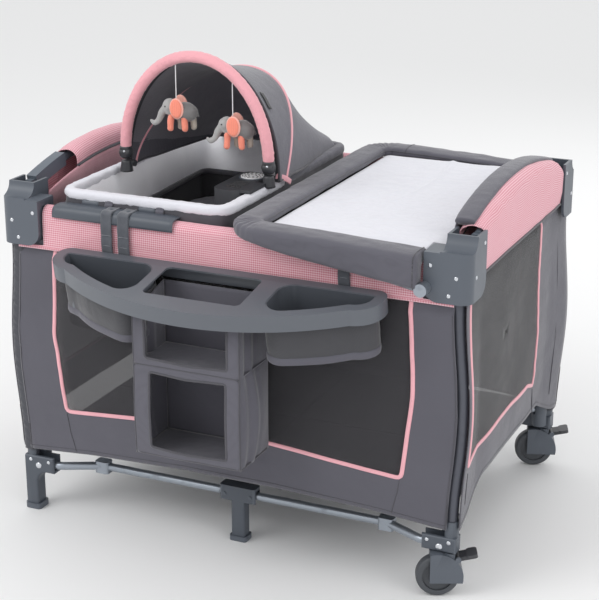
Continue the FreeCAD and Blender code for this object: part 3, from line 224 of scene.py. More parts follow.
def coated_metal(name, colour, metallic=0.75, roughness=0.34):
    """Powder coated or plated tube with a fine orange-peel and scuffs."""
    shader = Shader(name, colour, roughness)
    peel = shader.noise(700, 2.0)
    scuff = shader.ramp(shader.noise(60, 6.0), 0.56, 0.75)
    shader.set(shader.surface, {
        "Base Color": shader.mix(shader.math("MULTIPLY", scuff, 0.3), colour,
                                 [c * 0.7 for c in colour[:3]] + [1]),
        "Metallic": metallic,
        "Roughness": shader.node("MapRange", {"Value": scuff, "To Min": roughness,
                                              "To Max": 0.6}).outputs[0]})
    shader.bump(peel, 0.08, 0.0003)
    return shader


def netting(name, colour, low=0.58, high=0.78, pitch=0.0014):
    """Fine see-through mesh: threads with small holes between them, read as an even dark veil."""
    shader = cloth(name, colour, space="UV", wrinkle=0.1)
    parts = shader.node("SeparateXYZ", {0: shader.place("UV")})
    waves = [shader.math("SINE", shader.math("MULTIPLY", parts.outputs[axis], 2 * math.pi / pitch))
             for axis in range(2)]
    hole = shader.ramp(shader.math("MULTIPLY", waves[0], waves[1]), -0.5, 0.5)
    shader.set(shader.surface, {"Alpha": shader.math("SUBTRACT", high,
                                                     shader.math("MULTIPLY", hole, high - low))})
    return shader


MATERIALS = {
    "cloth": cloth("grey_woven_cloth", GREY_CLOTH, space="UV"),
    "cloth_solid": cloth("grey_woven_cover", GREY_CLOTH, wrinkle=0.7),
    "cloth_dark": cloth("dark_woven_cloth", GREY_DARK),
    "gingham": gingham("pink_gingham"),
    "pink_soft": cloth("pink_padded_cloth", srgb(228, 163, 171), pitch=0.0009, wrinkle=0.9),
    "lining": cloth("pink_lining", srgb(214, 160, 170), wrinkle=0.8),
    "white": cloth("white_padded_cloth", WHITE, pitch=0.0009, wrinkle=0.6, worn=0.05),
    # Brighter copy of the white padded cloth, for the bumper's inner face that the lights leave in shade:
    # painted light.
    "white_painted_lit": cloth("white_bumper_cloth", srgb(246, 246, 250), pitch=0.0009, wrinkle=0.6, worn=0.02),
    # Lighter than the grey outer cloth, to lift the shade inside the hood: painted light.
    "hood_lining": cloth("grey_hood_lining", srgb(122, 120, 127), wrinkle=0.9),
    "net": netting("grey_mesh", srgb(58, 57, 61)),
    "plastic": plastic("grey_plastic", GREY_PLASTIC),
    "plastic_dark": plastic("dark_plastic", srgb(52, 53, 57), 0.38),
    "wheel": plastic("wheel_plastic", srgb(70, 73, 78), 0.5),
    "silver": coated_metal("silver_tube", SILVER),
    "steel": coated_metal("grey_tube", srgb(84, 86, 95), 0.3, 0.42),
    "rivet": coated_metal("bright_rivet", srgb(214, 217, 222), 0.95, 0.25),
    "plush": cloth("grey_plush", ELEPHANT, sheen=0.8, wrinkle=1.0),
    "plush_dark": cloth("dark_plush", srgb(118, 116, 116), sheen=0.8, wrinkle=1.0),
    "coral": cloth("coral_plush", CORAL, sheen=0.5, wrinkle=0.8),
    "coral_pale": cloth("pale_coral_plush", srgb(243, 178, 164), sheen=0.5, wrinkle=0.6),
    "beige": cloth("beige_plush", srgb(190, 180, 168), sheen=0.5, wrinkle=0.6),
    "cord": cloth("white_cord", srgb(240, 240, 240), pitch=0.0006),
    "cloth_ruched": cloth("ruched_sleeve", srgb(70, 71, 77), wrinkle=0.8),
    "pink_band": cloth("pink_piping", srgb(232, 170, 179), pitch=0.0010, wrinkle=0.1),
    "bag": cloth("bag_mesh_cloth", srgb(66, 66, 70), pitch=0.0016),
    "strap": cloth("woven_strap", srgb(84, 87, 94), pitch=0.0014, wrinkle=0.2),
    "stitch": cloth("stitching", srgb(120, 122, 128), pitch=0.0008, wrinkle=0.1),
    "tray": plastic("satin_tray_plastic", srgb(84, 88, 95), 0.36),
    "rail": plastic("rail_sleeve_plastic", srgb(82, 90, 100), 0.4),
    "button": plastic("white_button_plastic", srgb(222, 222, 224), 0.35),
    "rubber": plastic("dark_rubber", srgb(40, 40, 43), 0.6),
}


def paint(obj, key):
    """Gives an object one material."""
    obj.data.materials.clear()
    obj.data.materials.append(MATERIALS[key].material)
    return obj


# ---- meshes ----
def ring_faces(rows, count, start=0):
    """Faces between rings of count points each, laid one after another from start."""
    return [(low + k, low + (k + 1) % count, low + count + (k + 1) % count, low + count + k)
            for low in range(start, start + rows * count, count) for k in range(count)]


def mesh(name, points, faces, key, uvs=None):
    """Smooth mesh object; uvs hold one pair of metres per point."""
    data = bpy.data.meshes.new(name)
    data.from_pydata([tuple(point) for point in points], [], faces)
    layer = data.uv_layers.new(name="metres")
    for loop in data.loops:
        point = points[loop.vertex_index]
        layer.data[loop.index].uv = uvs[loop.vertex_index] if uvs else (point[0] + point[1], point[2])
    data.polygons.foreach_set("use_smooth", [True] * len(data.polygons))
    obj = bpy.data.objects.new(name, data)
    bpy.context.collection.objects.link(obj)
    outward(obj)
    return paint(obj, key)


def outward(obj):
    """Turns the faces of a mesh the same way round."""
    shape = bmesh.new()
    shape.from_mesh(obj.data)
    bmesh.ops.remove_doubles(shape, verts=shape.verts, dist=1e-6)
    bmesh.ops.recalc_face_normals(shape, faces=shape.faces)
    shape.to_mesh(obj.data)
    shape.free()


def grid(name, key, surface, columns, rows, closed=False):
    """Sheet over surface(u, v), with u and v from 0 to 1 and UVs in metres; closed joins u = 1 to u = 0."""
    points = [[Vector(surface(i / columns, j / rows)) for j in range(rows + 1)] for i in range(columns + 1)]
    across = lengths([points[i][rows // 2] for i in range(columns + 1)])
    along = lengths([points[columns // 2][j] for j in range(rows + 1)])
    flat = [point for column in points for point in column]
    uvs = [(across[i], along[j]) for i in range(columns + 1) for j in range(rows + 1)]
    faces = []
    for i in range(columns):
        for j in range(rows):
            corner = i * (rows + 1) + j
            beside = corner + rows + 1
            faces.append((corner, beside, beside + 1, corner + 1))
    obj = mesh(name, flat, faces, key, uvs)
    if closed:
        outward(obj)
    return obj


def lengths(points):
    """Running length along a line of points."""
    total = [0.0]
    for before, after in zip(points, points[1:]):
        total.append(total[-1] + (after - before).length)
    return total


def curve_through(points, count, closed=False):
    """Evenly shared points of a smooth line through given ones."""
    points = [Vector(point) for point in points]
    spans = len(points) if closed else len(points) - 1
    made = []
    for n in range(count + (0 if closed else 1)):
        place = n / count * spans
        k = min(int(place), spans - 1)
        t = place - k
        if closed:
            a, b, c, d = (points[(k + step) % len(points)] for step in (-1, 0, 1, 2))
        else:
            a, b, c, d = (points[min(max(k + step, 0), len(points) - 1)] for step in (-1, 0, 1, 2))
        made.append(0.5 * (2 * b + (c - a) * t + (2 * a - 5 * b + 4 * c - d) * t ** 2
                           + (3 * b - a - 3 * c + d) * t ** 3))
    return made


def rounded(points, radius, closed=False, steps=6):
    """Line with its corners rounded to a radius."""
    points = [Vector(point) for point in points]
    made = [] if closed else [points[0]]
    span = range(len(points)) if closed else range(1, len(points) - 1)
    for k in span:
        before, corner, after = points[k - 1], points[k], points[(k + 1) % len(points)]
        reach = min(radius, 0.48 * (before - corner).length, 0.48 * (after - corner).length)
        first = corner + (before - corner).normalized() * reach
        last = corner + (after - corner).normalized() * reach
        for n in range(steps + 1):
            t = n / steps
            made.append(first * (1 - t) ** 2 + corner * 2 * t * (1 - t) + last * t ** 2)
    return made if closed else made + [points[-1]]


def spread(points, spacing, closed=False):
    """Points shared evenly along a line."""
    line = points + [points[0]] if closed else points
    marks = lengths(line)
    count = max(2, round(marks[-1] / spacing))
    made = []
    k = 0
    for n in range(count + (0 if closed else 1)):
        goal = marks[-1] * n / count
        while k < len(marks) - 2 and marks[k + 1] < goal:
            k += 1
        share = (goal - marks[k]) / max(marks[k + 1] - marks[k], 1e-9)
        made.append(line[k].lerp(line[k + 1], min(max(share, 0), 1)))
    return made


def sweep(name, key, path, profile, closed=False, up=Vector((0, 0, 1)), capped=True):
    """Skin along a path; profile(t, angle) gives the pair (sideways, up) off the path."""
    sides = 20
    count = len(path)
    rings = []
    for n, place in enumerate(path):
        before = path[n - 1] if n or closed else place
        after = path[(n + 1) % count] if n < count - 1 or closed else place
        run = (after - before).normalized()
        side = run.cross(up)
        side = side.normalized() if side.length > 1e-6 else Vector((1, 0, 0))
        top = side.cross(run).normalized()
        ring = []
        for k in range(sides):
            sideways, high = profile(n / max(count - 1, 1), 2 * math.pi * k / sides)
            ring.append(place + side * sideways + top * high)
        rings.append(ring)
    run_marks = lengths(path + [path[0]])
    girth = lengths(rings[count // 2] + [rings[count // 2][0]])
    points = [point for ring in rings for point in ring]
    uvs = [(run_marks[n], girth[k]) for n in range(count) for k in range(sides)]
    faces = []
    for n in range(count if closed else count - 1):
        low = n * sides
        high = (n + 1) % count * sides
        for k in range(sides):
            turn = (k + 1) % sides
            faces.append((low + k, high + k, high + turn, low + turn))
    if capped and not closed:
        faces.append(tuple(range(sides)))
        faces.append(tuple(range((count - 1) * sides, count * sides)))
    return mesh(name, points, faces, key, uvs)


def round_profile(radius, height=None):
    """Profile of a round or oval skin."""
    return lambda t, angle: (radius * math.cos(angle), (height or radius) * math.sin(angle))


def box_profile(half_width, half_height, power=0.45):
    """Profile of a flat strap or a softly squared bar."""
    def profile(t, angle):
        c, s = math.cos(angle), math.sin(angle)
        return (half_width * math.copysign(abs(c) ** power, c),
                half_height * math.copysign(abs(s) ** power, s))
    return profile


def modify(obj, kind, **settings):
    """Adds a modifier."""
    made = obj.modifiers.new(kind.lower(), kind)
    for key, value in settings.items():
        setattr(made, key, value)
    return obj


def apply_modifiers(obj):
    """Makes what the modifiers give the mesh itself."""
    graph = bpy.context.evaluated_depsgraph_get()
    data = bpy.data.meshes.new_from_object(obj.evaluated_get(graph))
    obj.modifiers.clear()
    obj.data = data
    data.polygons.foreach_set("use_smooth", [True] * len(data.polygons))
    return obj


def thicken(obj, thickness=0.0016, offset=0.0):
    """Gives a sheet its thickness."""
    return modify(obj, "SOLIDIFY", thickness=thickness, offset=offset)


def joined(name, parts):
    """One object from several meshes, modifiers included, keeping their materials."""
    shape = bpy.data.meshes.new(name)
    whole = bmesh.new()
    whole.loops.layers.uv.new("metres")
    slots = []
    graph = bpy.context.evaluated_depsgraph_get()
    for part in parts:
        graph.update()
        seen = part.evaluated_get(graph)
        data = seen.to_mesh()
        data.transform(part.matrix_world)
        key = part.data.materials[0]
        if key not in slots:
            slots.append(key)
        start = len(whole.faces)
        whole.from_mesh(data)
        whole.faces.ensure_lookup_table()
        for face in whole.faces[start:]:
            face.material_index = slots.index(key)
            face.smooth = True
        seen.to_mesh_clear()
        bpy.data.objects.remove(part)
    whole.to_mesh(shape)
    whole.free()
    obj = bpy.data.objects.new(name, shape)
    for material in slots:
        shape.materials.append(material)
    bpy.context.collection.objects.link(obj)
    return obj


def ripple(place, scale, size, seed=0.0):
    """Soft uneven height over a surface, in metres."""
    return size * noise.noise(Vector(place) * scale + Vector((seed, 2.3 * seed, 0)))


def seam(name, key, path, radius=0.0009):
    """Thin raised seam or stitch line along a path."""
    return sweep(name, key, spread(path, 0.004), round_profile(radius))


# ---- the photograph's view, the floor and the light ----
CAMERA_AZIMUTH = math.radians(24.22)
CAMERA_ELEVATION = math.radians(18.8)
CAMERA_DISTANCE = 3.5435
CAMERA_TARGET = Vector((0.0036, 0.0016, 0.4505))


def add_camera():
    """Camera as in the photograph."""
    flat = math.cos(CAMERA_ELEVATION)
    away = Vector((flat * math.sin(CAMERA_AZIMUTH), -flat * math.cos(CAMERA_AZIMUTH),
                   math.sin(CAMERA_ELEVATION)))
    data = bpy.data.cameras.new("photo_camera")
    data.lens = 95.19
    data.sensor_width = 36
    obj = bpy.data.objects.new("photo_camera", data)
    obj.location = CAMERA_TARGET + away * CAMERA_DISTANCE
    obj.rotation_euler = (-away).to_track_quat("-Z", "Y").to_euler()
    bpy.context.collection.objects.link(obj)
    bpy.context.scene.camera = obj


def add_light(name, place, size, power, aim=Vector((0, 0, 0.5))):
    """Square soft light aimed at the object."""
    data = bpy.data.lights.new(name, "AREA")
    data.energy = power
    data.size = size
    obj = bpy.data.objects.new(name, data)
    obj.location = place
    obj.rotation_euler = (aim - Vector(place)).to_track_quat("-Z", "Y").to_euler()
    bpy.context.collection.objects.link(obj)


def add_studio():
    """Pale floor, bright pale surroundings and three soft lights."""
    world = bpy.data.worlds.new("studio")
    world.use_nodes = True
    background = world.node_tree.nodes["Background"]
    background.inputs["Color"].default_value = (0.945, 0.95, 0.955, 1)
    background.inputs["Strength"].default_value = 0.94
    bpy.context.scene.world = world
    size = 12.0
    corners = ((-size, -size), (size, -size), (size, size), (-size, size))
    data = bpy.data.meshes.new("studio_floor")
    data.from_pydata([(x, y, -0.0005) for x, y in corners], [], [(0, 1, 2, 3)])
    floor = bpy.data.objects.new("studio_floor", data)
    bpy.context.collection.objects.link(floor)
    shader = Shader("studio_floor", (0.88, 0.88, 0.88, 1), 0.9)
    data.materials.append(shader.material)
    add_light("key_light", (-1.8, -2.6, 3.0), 2.2, 46)
    add_light("side_light", (3.0, -1.2, 2.0), 2.0, 16)
    add_light("back_light", (0.6, 3.0, 2.6), 2.4, 20)
    view = bpy.context.scene.view_settings
    view.view_transform = "Standard"


# ---- toy cords ----
TOY_BAR_LOW, TOY_BAR_HIGH = ends("toy_bar")
TOY_BAR_Y = (TOY_BAR_LOW.y + TOY_BAR_HIGH.y) / 2
ARCH_X = (TOY_BAR_LOW.x + TOY_BAR_HIGH.x) / 2


def add_toy_cord(side):
    """Taut white string between the toy bar and its toy."""
    low, high = ends("toy_cord_" + side)
    top = Vector(((low.x + high.x) / 2, (low.y + high.y) / 2, high.z))
    length = high.z - low.z
    data = bpy.data.curves.new("string_" + side, "CURVE")
    data.dimensions = "3D"
    data.bevel_depth = 0.001
    data.use_fill_caps = True
    spline = data.splines.new("NURBS")
    shares = (0, 0.2, 0.4, 0.6, 0.8, 1.0)
    spline.points.add(len(shares) - 1)
    for point, share in zip(spline.points, shares):
        point.co = (*(top - Vector((0, 0, length * share))), 1)
    spline.order_u = 3
    spline.use_endpoint_u = True
    obj = bpy.data.objects.new("string_" + side, data)
    bpy.context.collection.objects.link(obj)
    data.materials.append(MATERIALS["cord"].material)
    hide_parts("toy_cord_" + side)
    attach(obj, "toy_" + side)


# ---- walls ----
POST_R = 0.0125
CLOTH_OFF = 0.0165            # cloth from the post's axis
HEM_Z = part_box("wall_front")[0][2] + 0.03
CORNER_HEM_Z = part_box("wall_front")[0][2]
LONG_CAP_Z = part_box("wall_front")[1][2]
CASTING_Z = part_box("top_corner_fl")[0][2]
BOW_LOW = 0.152
BOW_HIGH = 0.624
BOW_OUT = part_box("corner_post_rr")[1][0] - POST_R - POST_X
ARCH_R = (0.292 ** 2 + 0.045 ** 2) / 0.09
ARCH_CENTRE_Z = 0.728 + 0.045 - ARCH_R


def bow_at(z):
    """How far a post stands out at a height."""
    share = (z - BOW_LOW) / (BOW_HIGH - BOW_LOW)
    return BOW_OUT * 0.5 * (1 - math.cos(2 * math.pi * min(max(share, 0), 1)))


def arch_z(y, rise=0.0):
    """Height of the end rail's arch over a place along Y."""
    return ARCH_CENTRE_Z + math.sqrt((ARCH_R + rise) ** 2 - y ** 2)


def panel(name, key, outline, window, place, rings=14):
    """Cloth between a closed outer outline and a window's outline, both as flat pairs."""
    count = len(window)
    points = []
    uvs = []
    for ring in range(rings + 1):
        share = ring / rings
        for k in range(count):
            flat = window[k].lerp(outline[k], share)
            points.append(place(flat.x, flat.y))
            uvs.append((flat.x, flat.y))
    return mesh(name, points, ring_faces(rings, count), key, uvs)


def filled(name, key, window, place, rings=16):
    """Cloth that fills a window's outline."""
    centre_point = sum(window, Vector((0, 0, 0))) / len(window)
    inner = [centre_point.lerp(point, 0.02) for point in window]
    return panel(name, key, window, inner, place, rings)


def ray_match(window, outline):
    """Point of a closed outline on the ray through each window point."""
    middle = sum(window, Vector((0, 0, 0))) / len(window)
    matched = []
    for point in window:
        run = point - middle
        best = None
        for first, second in zip(outline, outline[1:] + outline[:1]):
            edge = second - first
            cross = run.x * edge.y - run.y * edge.x
            if abs(cross) < 1e-12:
                continue
            gap = first - middle
            t = (gap.x * edge.y - gap.y * edge.x) / cross
            s = (gap.x * run.y - gap.y * run.x) / cross
            if t > 0 and -1e-9 <= s <= 1 + 1e-9 and (best is None or t > best):
                best = t
        matched.append(middle + run * best)
    return matched


def flat_loop(pairs, radius, spacing=0.006):
    """Closed outline from corner pairs, with rounded corners."""
    return spread(rounded([(a, b, 0) for a, b in pairs], radius, closed=True), spacing, closed=True)


def wall_set(name, window, outline, place, out):
    """Sheet, netting and piping of one wall; out points away from the enclosure."""
    outer = ray_match(window, outline)
    sheet = thicken(panel(name + "_panel", "cloth", outer, window, place), 0.0016)
    net = thicken(filled(name + "_netting", "net", window, place), 0.0006)
    rim = [place(point.x, point.y) + out * 0.001 for point in window]
    piping = sweep_flat(name + "_piping", "pink_band", rim, out, round_profile(0.0046, 0.0024))
    return [sheet, net, piping]


def sweep_flat(name, key, path, out, profile):
    """Closed band along a path: width lies in the wall, thickness along out."""
    sides = 12
    points = []
    count = len(path)
    for n, place in enumerate(path):
        run = (path[(n + 1) % count] - path[n - 1]).normalized()
        side = run.cross(out).normalized()
        for k in range(sides):
            wide, high = profile(0, 2 * math.pi * k / sides)
            points.append(place + side * wide + out * high)
    marks = lengths(path + [path[0]])
    uvs = [(marks[n], 0.014 * k / sides) for n in range(count) for k in range(sides)]
    faces = []
    for n in range(count):
        low, high = n * sides, (n + 1) % count * sides
        for k in range(sides):
            turn = (k + 1) % sides
            faces.append((low + k, high + k, high + turn, low + turn))
    return mesh(name, points, faces, key, uvs)


LONG_WINDOW = [(-0.398, 0.624), (-0.409, 0.430), (-0.386, 0.254), (-0.192, 0.2685), (0.092, 0.2665),
               (0.388, 0.243), (0.409, 0.430), (0.398, 0.624)]
LONG_BAND_Z = 0.613


def long_edge(z):
    """How far the cloth of a long wall goes along X at a height."""
    return POST_X + bow_at(z) - 0.004


def long_outline(heights):
    """Outline of a long wall's cloth: down one side, along the hem and up the other."""
    outline = [(-long_edge(z), z) for z in heights]
    outline += [(-0.33, HEM_Z - 0.002), (-0.10, HEM_Z + 0.006), (0.10, HEM_Z + 0.006), (0.33, HEM_Z - 0.002)]
    return outline + [(long_edge(z), z) for z in reversed(heights)]


def long_band_line(y_out):
    """Line of the band over a long rail, from its hem outside over the top and down inside."""
    cap_top = LONG_CAP_Z - 0.0005
    inner_y = POST_Y - 0.0185
    section = rounded([(0, y_out + 0.0016, LONG_BAND_Z), (0, y_out + 0.0014, 0.66),
                       (0, y_out, cap_top - 0.006),
                       (0, (y_out + inner_y) / 2, cap_top + 0.003), (0, inner_y, cap_top - 0.006),
                       (0, inner_y - 0.001, 0.660), (0, inner_y, 0.638)], 0.014, steps=5)
    return spread(section, 0.005)


def add_long_wall(side):
    """Front or rear wall: cloth, netting window, gingham band and hems."""
    sign = -1 if side == "front" else 1
    out = Vector((0, sign, 0))
    body = "post_fl" if side == "front" else "post_rr"
    y_plane = POST_Y + CLOTH_OFF

    def place(x, z):
        edge = min(1.0, max(0.0, (POST_X - abs(x)) / 0.10))
        low = min(1.0, max(0.0, (z - 0.15) / 0.08))
        waves = ripple((x, z, sign), 5.0, 0.0045) + ripple((x, z * 2.2, 0), 13.0, 0.0016, sign)
        folds = 0.0014 * math.sin(z * 62) * math.exp(-((z - 0.42) / 0.07) ** 2) * (abs(x) > 0.40)
        gather = 0.0012 * math.sin(abs(x) * 380) * math.exp(-((z - LONG_BAND_Z) / 0.03) ** 2)
        under = min(1.0, max(0.0, (z - 0.598) / 0.012))
        spread_out = (edge * low * (waves + gather) + folds) * (1 - under) - 0.0052 * under
        return Vector((x, sign * (y_plane + 0.002 + spread_out), z))

    foot_z = CORNER_HEM_Z + 0.016
    heights = [0.634 - (0.634 - foot_z) * n / 14 for n in range(15)]
    window = flat_loop(LONG_WINDOW, 0.012)
    outer = flat_loop(long_outline(heights), 0.004)
    pieces = wall_set("wall_" + side, window, outer, place, out)

    cap_x = POST_X - 0.066
    line = long_band_line(y_plane + 0.0012)

    def band(u, v):
        k = v * (len(line) - 1)
        low = min(int(k), len(line) - 2)
        point = line[low].lerp(line[low + 1], k - low)
        half = cap_x if point.z > CASTING_Z or point.y < POST_Y else long_edge(point.z)
        x = (2 * u - 1) * half
        sag = 0.003 * math.cos(x / cap_x * math.pi) * (1 if point.z < 0.62 else 0)
        soft = ripple((x, point.y * 3, point.z * 3), 16.0, 0.0012)
        off = 1 if point.y > POST_Y else -1
        return Vector((x, sign * (point.y + off * soft), point.z - sag + 0.4 * soft))

    pieces.append(thicken(grid("wall_%s_band" % side, "gingham", band, 150, 46), 0.0014))
    for end in (-1, 1):
        corner = [(end * 0.386, 0.249), (end * 0.380, 0.21), (end * 0.368, HEM_Z)]
        pieces.append(seam("wall_%s_seam_%d" % (side, end + 1), "cloth_dark",
                           [place(x, z) + out * 0.001 for x, z in corner]))
        upright = [place(end * (long_edge(z) - 0.003), z) + out * 0.001 for z in heights[1:]]
        pieces.append(seam("wall_%s_side_seam_%d" % (side, end + 1), "cloth_dark", upright))
    hem = [place(point.x, point.y + 0.009) + out * 0.0008 for point in outer if point.y < 0.20]
    hem.sort(key=lambda point: point.x)
    pieces.append(seam("wall_%s_hem" % side, "cloth_dark", hem, 0.0007))
    obj = joined("wall_%s_cloth" % side, pieces)
    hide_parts("wall_" + side)
    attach(obj, body)
    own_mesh(obj)
    return obj


END_WINDOW = [(-0.326, 0.674), (-0.336, 0.500), (-0.335, 0.280), (-0.10, 0.2905), (0.105, 0.2885),
              (0.158, 0.270), (0.160, 0.430), (0.166, 0.676)]
END_BAND_Z = 0.660
CAP_HALF = 0.0275
CAP_LIMIT = 0.274


def cap_reach(end):
    """How far the padded cap goes along Y over the end rail."""
    return 0.154 if end == "left" else CAP_LIMIT


def end_outline():
    """Closed outline of an end wall's cloth, with its feet lower than its middle."""
    edge_y = POST_Y + 0.010
    return [(-0.30, 0.690), (-edge_y, 0.668), (-edge_y - 0.001, 0.40), (-edge_y, CORNER_HEM_Z + 0.014),
            (-edge_y + 0.05, CORNER_HEM_Z + 0.026), (-0.20, HEM_Z + 0.044), (0.20, HEM_Z + 0.044),
            (edge_y - 0.05, CORNER_HEM_Z + 0.026), (edge_y + 0.004, CORNER_HEM_Z + 0.014),
            (edge_y + 0.001, 0.40), (edge_y, 0.668), (0.30, 0.690)]


def end_cap_line(y, reach):
    """Cap's line over the rail at a place along Y, from the outer cloth over the top and down inside."""
    top = arch_z(y)
    flat_x = POST_X + CLOTH_OFF + 0.0055
    points = [Vector((flat_x, y, END_BAND_Z)), Vector((POST_X + CAP_HALF - 0.001, y, top - 0.045))]
    if abs(y) > reach:
        return points + [Vector((POST_X + CAP_HALF - 0.001, y, top - 0.019))]
    for step in range(9):
        turn = math.pi * step / 8
        points.append(Vector((POST_X + CAP_HALF * math.cos(turn), y,
                              top + 0.002 + 0.021 * math.sin(turn))))
    return points + [Vector((POST_X - CAP_HALF, y, top - 0.012))]


def end_lining(sign, inner_x):
    """Surface of the lining that hangs inside an end wall's cap."""
    def lining(u, v):
        y = -CAP_LIMIT + 2 * CAP_LIMIT * u
        top = arch_z(y) - 0.015
        z = top + (END_BAND_Z - 0.02 - top) * v
        x = inner_x - 0.0008 + (POST_X + CLOTH_OFF - 0.008 - inner_x) * v ** 1.5
        return Vector((sign * (x + ripple((y, z, 3), 14.0, 0.004) * v), y, z))
    return lining


def end_seams(end, place, out, outer):
    """Seams below the window, down one corner and along the hem."""
    pieces = []
    for y, foot in ((-0.325, -0.322), (0.158, 0.164)):
        line = [place(y, 0.262), place(foot, HEM_Z + 0.03)]
        pieces.append(seam("wall_%s_seam" % end, "cloth_dark", [point + out * 0.001 for point in line]))
    upright = [place(POST_Y - 0.05, z) + out * 0.001 for z in (0.655, 0.50, 0.35, 0.20)]
    pieces.append(seam("wall_%s_side_seam" % end, "cloth_dark", upright))
    hem = [place(point.x, point.y + 0.009) + out * 0.0008 for point in outer if point.y < 0.24]
    hem.sort(key=lambda point: point.y)
    return pieces + [seam("wall_%s_hem" % end, "cloth_dark", hem, 0.0007)]


def add_end_wall(end):
    """Left or right wall: cloth, netting window and the band over the arched rail."""
    sign = -1 if end == "left" else 1
    out = Vector((sign, 0, 0))
    body = "post_rl" if end == "left" else "post_fr"
    reach = cap_reach(end)

    def place(y, z):
        edge = min(1.0, max(0.0, (POST_Y - abs(y)) / 0.10))
        pull = bow_at(z) * (1 - 0.75 * edge) - 0.006 * edge
        low = min(1.0, max(0.0, (z - 0.15) / 0.08))
        waves = ripple((y, z, 4 * sign), 6.0, 0.004) + ripple((y, 2.2 * z, 1), 14.0, 0.0014, sign)
        under = min(1.0, max(0.0, (z - 0.640) / 0.015))
        x = POST_X + CLOTH_OFF + 0.002 + pull + edge * low * waves * (1 - under) - 0.004 * under
        return Vector((sign * x, y, z))

    window = flat_loop(END_WINDOW, 0.008)
    outer = flat_loop(end_outline(), 0.004)
    pieces = wall_set("wall_" + end, window, outer, place, out)

    def strip(y_from, y_to):
        def band(u, v):
            y = y_from + (y_to - y_from) * u
            line = end_cap_line(y, reach)
            marks = lengths(line)
            goal = v * marks[-1]
            k = max(n for n in range(len(marks) - 1) if marks[n] <= goal + 1e-9)
            point = line[k].lerp(line[k + 1], (goal - marks[k]) / max(marks[k + 1] - marks[k], 1e-9))
            soft = ripple((point.x * 3, y, point.z * 2), 18.0, 0.0018)
            if end == "right":
                soft += 0.0016 * math.sin(y * 92 + 2.2 * math.sin(y * 27 + point.z * 30)) * (0.05 < v < 0.6)
            pinch = 0.003 * max(0.0, 1 - (min(abs(y - y_from), abs(y - y_to)) / 0.02))
            return Vector((sign * point.x, y, point.z + soft - (pinch if point.z > arch_z(y) else 0)))
        return band

    whole = strip(-reach, reach)
    pieces.append(thicken(grid("wall_%s_band" % end, "gingham", whole, 130, 44), 0.0016))
    if reach < CAP_LIMIT:
        for y_from, y_to in ((-CAP_LIMIT, -reach - 0.0002), (reach + 0.0002, CAP_LIMIT)):
            pieces.append(thicken(grid("wall_%s_band_end" % end, "gingham", strip(y_from, y_to), 34, 14),
                                  0.0016))
    else:
        low_edge = [whole(n / 90, 0.004) + out * 0.0016 for n in range(91)]
        pieces.append(sweep("wall_%s_band_binding" % end, "cloth_dark", low_edge, round_profile(0.0026)))
    inner_x = POST_X - CAP_HALF - 0.0012
    inner = [Vector((sign * inner_x, reach * (2 * n / 40 - 1), 0)) for n in range(41)]
    for point in inner:
        point.z = arch_z(point.y) - 0.013
    pieces.append(sweep("wall_%s_binding" % end, "cloth_dark", inner, round_profile(0.0034)))

    lining = end_lining(sign, inner_x)
    pieces.append(thicken(grid("wall_%s_lining" % end, "lining", lining, 90, 16), 0.0014))
    obj = joined("wall_%s_cloth" % end, pieces + end_seams(end, place, out, outer))
    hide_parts("wall_" + end)
    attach(obj, body)
    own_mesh(obj)
    return obj


def add_post_sleeve(corner):
    """Gathered cloth sleeve around a post."""
    sign_x, sign_y = CORNERS[corner]
    low_z = CORNER_HEM_Z + 0.012
    high_z = CASTING_Z + 0.004

    def surface(u, v):
        z = low_z + (high_z - low_z) * v
        angle = 2 * math.pi * u
        facing = max(0.0, math.cos(angle - math.atan2(sign_y, sign_x)))
        lean = 0.006 * math.sin(3 * angle) + z
        ruche = (noise.noise(Vector((0, sign_x, 95 * lean)))
                 + 0.6 * noise.noise(Vector((3, sign_y, 210 * lean))))
        radius = 0.0166 + 0.0010 * ruche * (0.35 + facing)
        squared = 1 + 0.16 * abs(math.sin(2 * angle)) ** 2
        x = sign_x * (POST_X + bow_at(z)) + radius * squared * math.cos(angle)
        return Vector((x, sign_y * POST_Y + radius * squared * math.sin(angle), z))

    obj = thicken(grid("post_sleeve_" + corner, "cloth_ruched", surface, 40, 260, closed=True), 0.0012)
    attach(obj, "post_" + corner)
    return obj


def add_floor_cloth(corner):
    """Quarter of the cloth floor, between the hub and a corner."""
    sign_x, sign_y = CORNERS[corner]
    high = ends("floor_sheet")[1]
    top = high.z

    def surface(u, v):
        x = sign_x * (0.0008 + (high.x - 0.0008) * u)
        y = sign_y * (0.0008 + (high.y - 0.0008) * v)
        cut = max(0.0, u + v - 1.93) * 0.35
        sag = 0.003 * math.sin(math.pi * u) * math.sin(math.pi * v)
        return Vector((x * (1 - cut), y * (1 - cut), top - 0.0012 - sag + ripple((x, y, 0), 9.0, 0.0012)))

    obj = thicken(grid("floor_cloth_" + corner, "cloth_dark", surface, 40, 32), 0.0024, offset=0.0)
    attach(obj, "tube_" + corner)
    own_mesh(obj)
    return obj


# ---- padded forms ----
def superloop(low, high, corner, z, spacing=0.008):
    """Rounded rectangle at a height, as an evenly spaced closed line."""
    pairs = [(low.x, low.y, z), (high.x, low.y, z), (high.x, high.y, z), (low.x, high.y, z)]
    return spread(rounded(pairs, corner, closed=True, steps=9), spacing, closed=True)


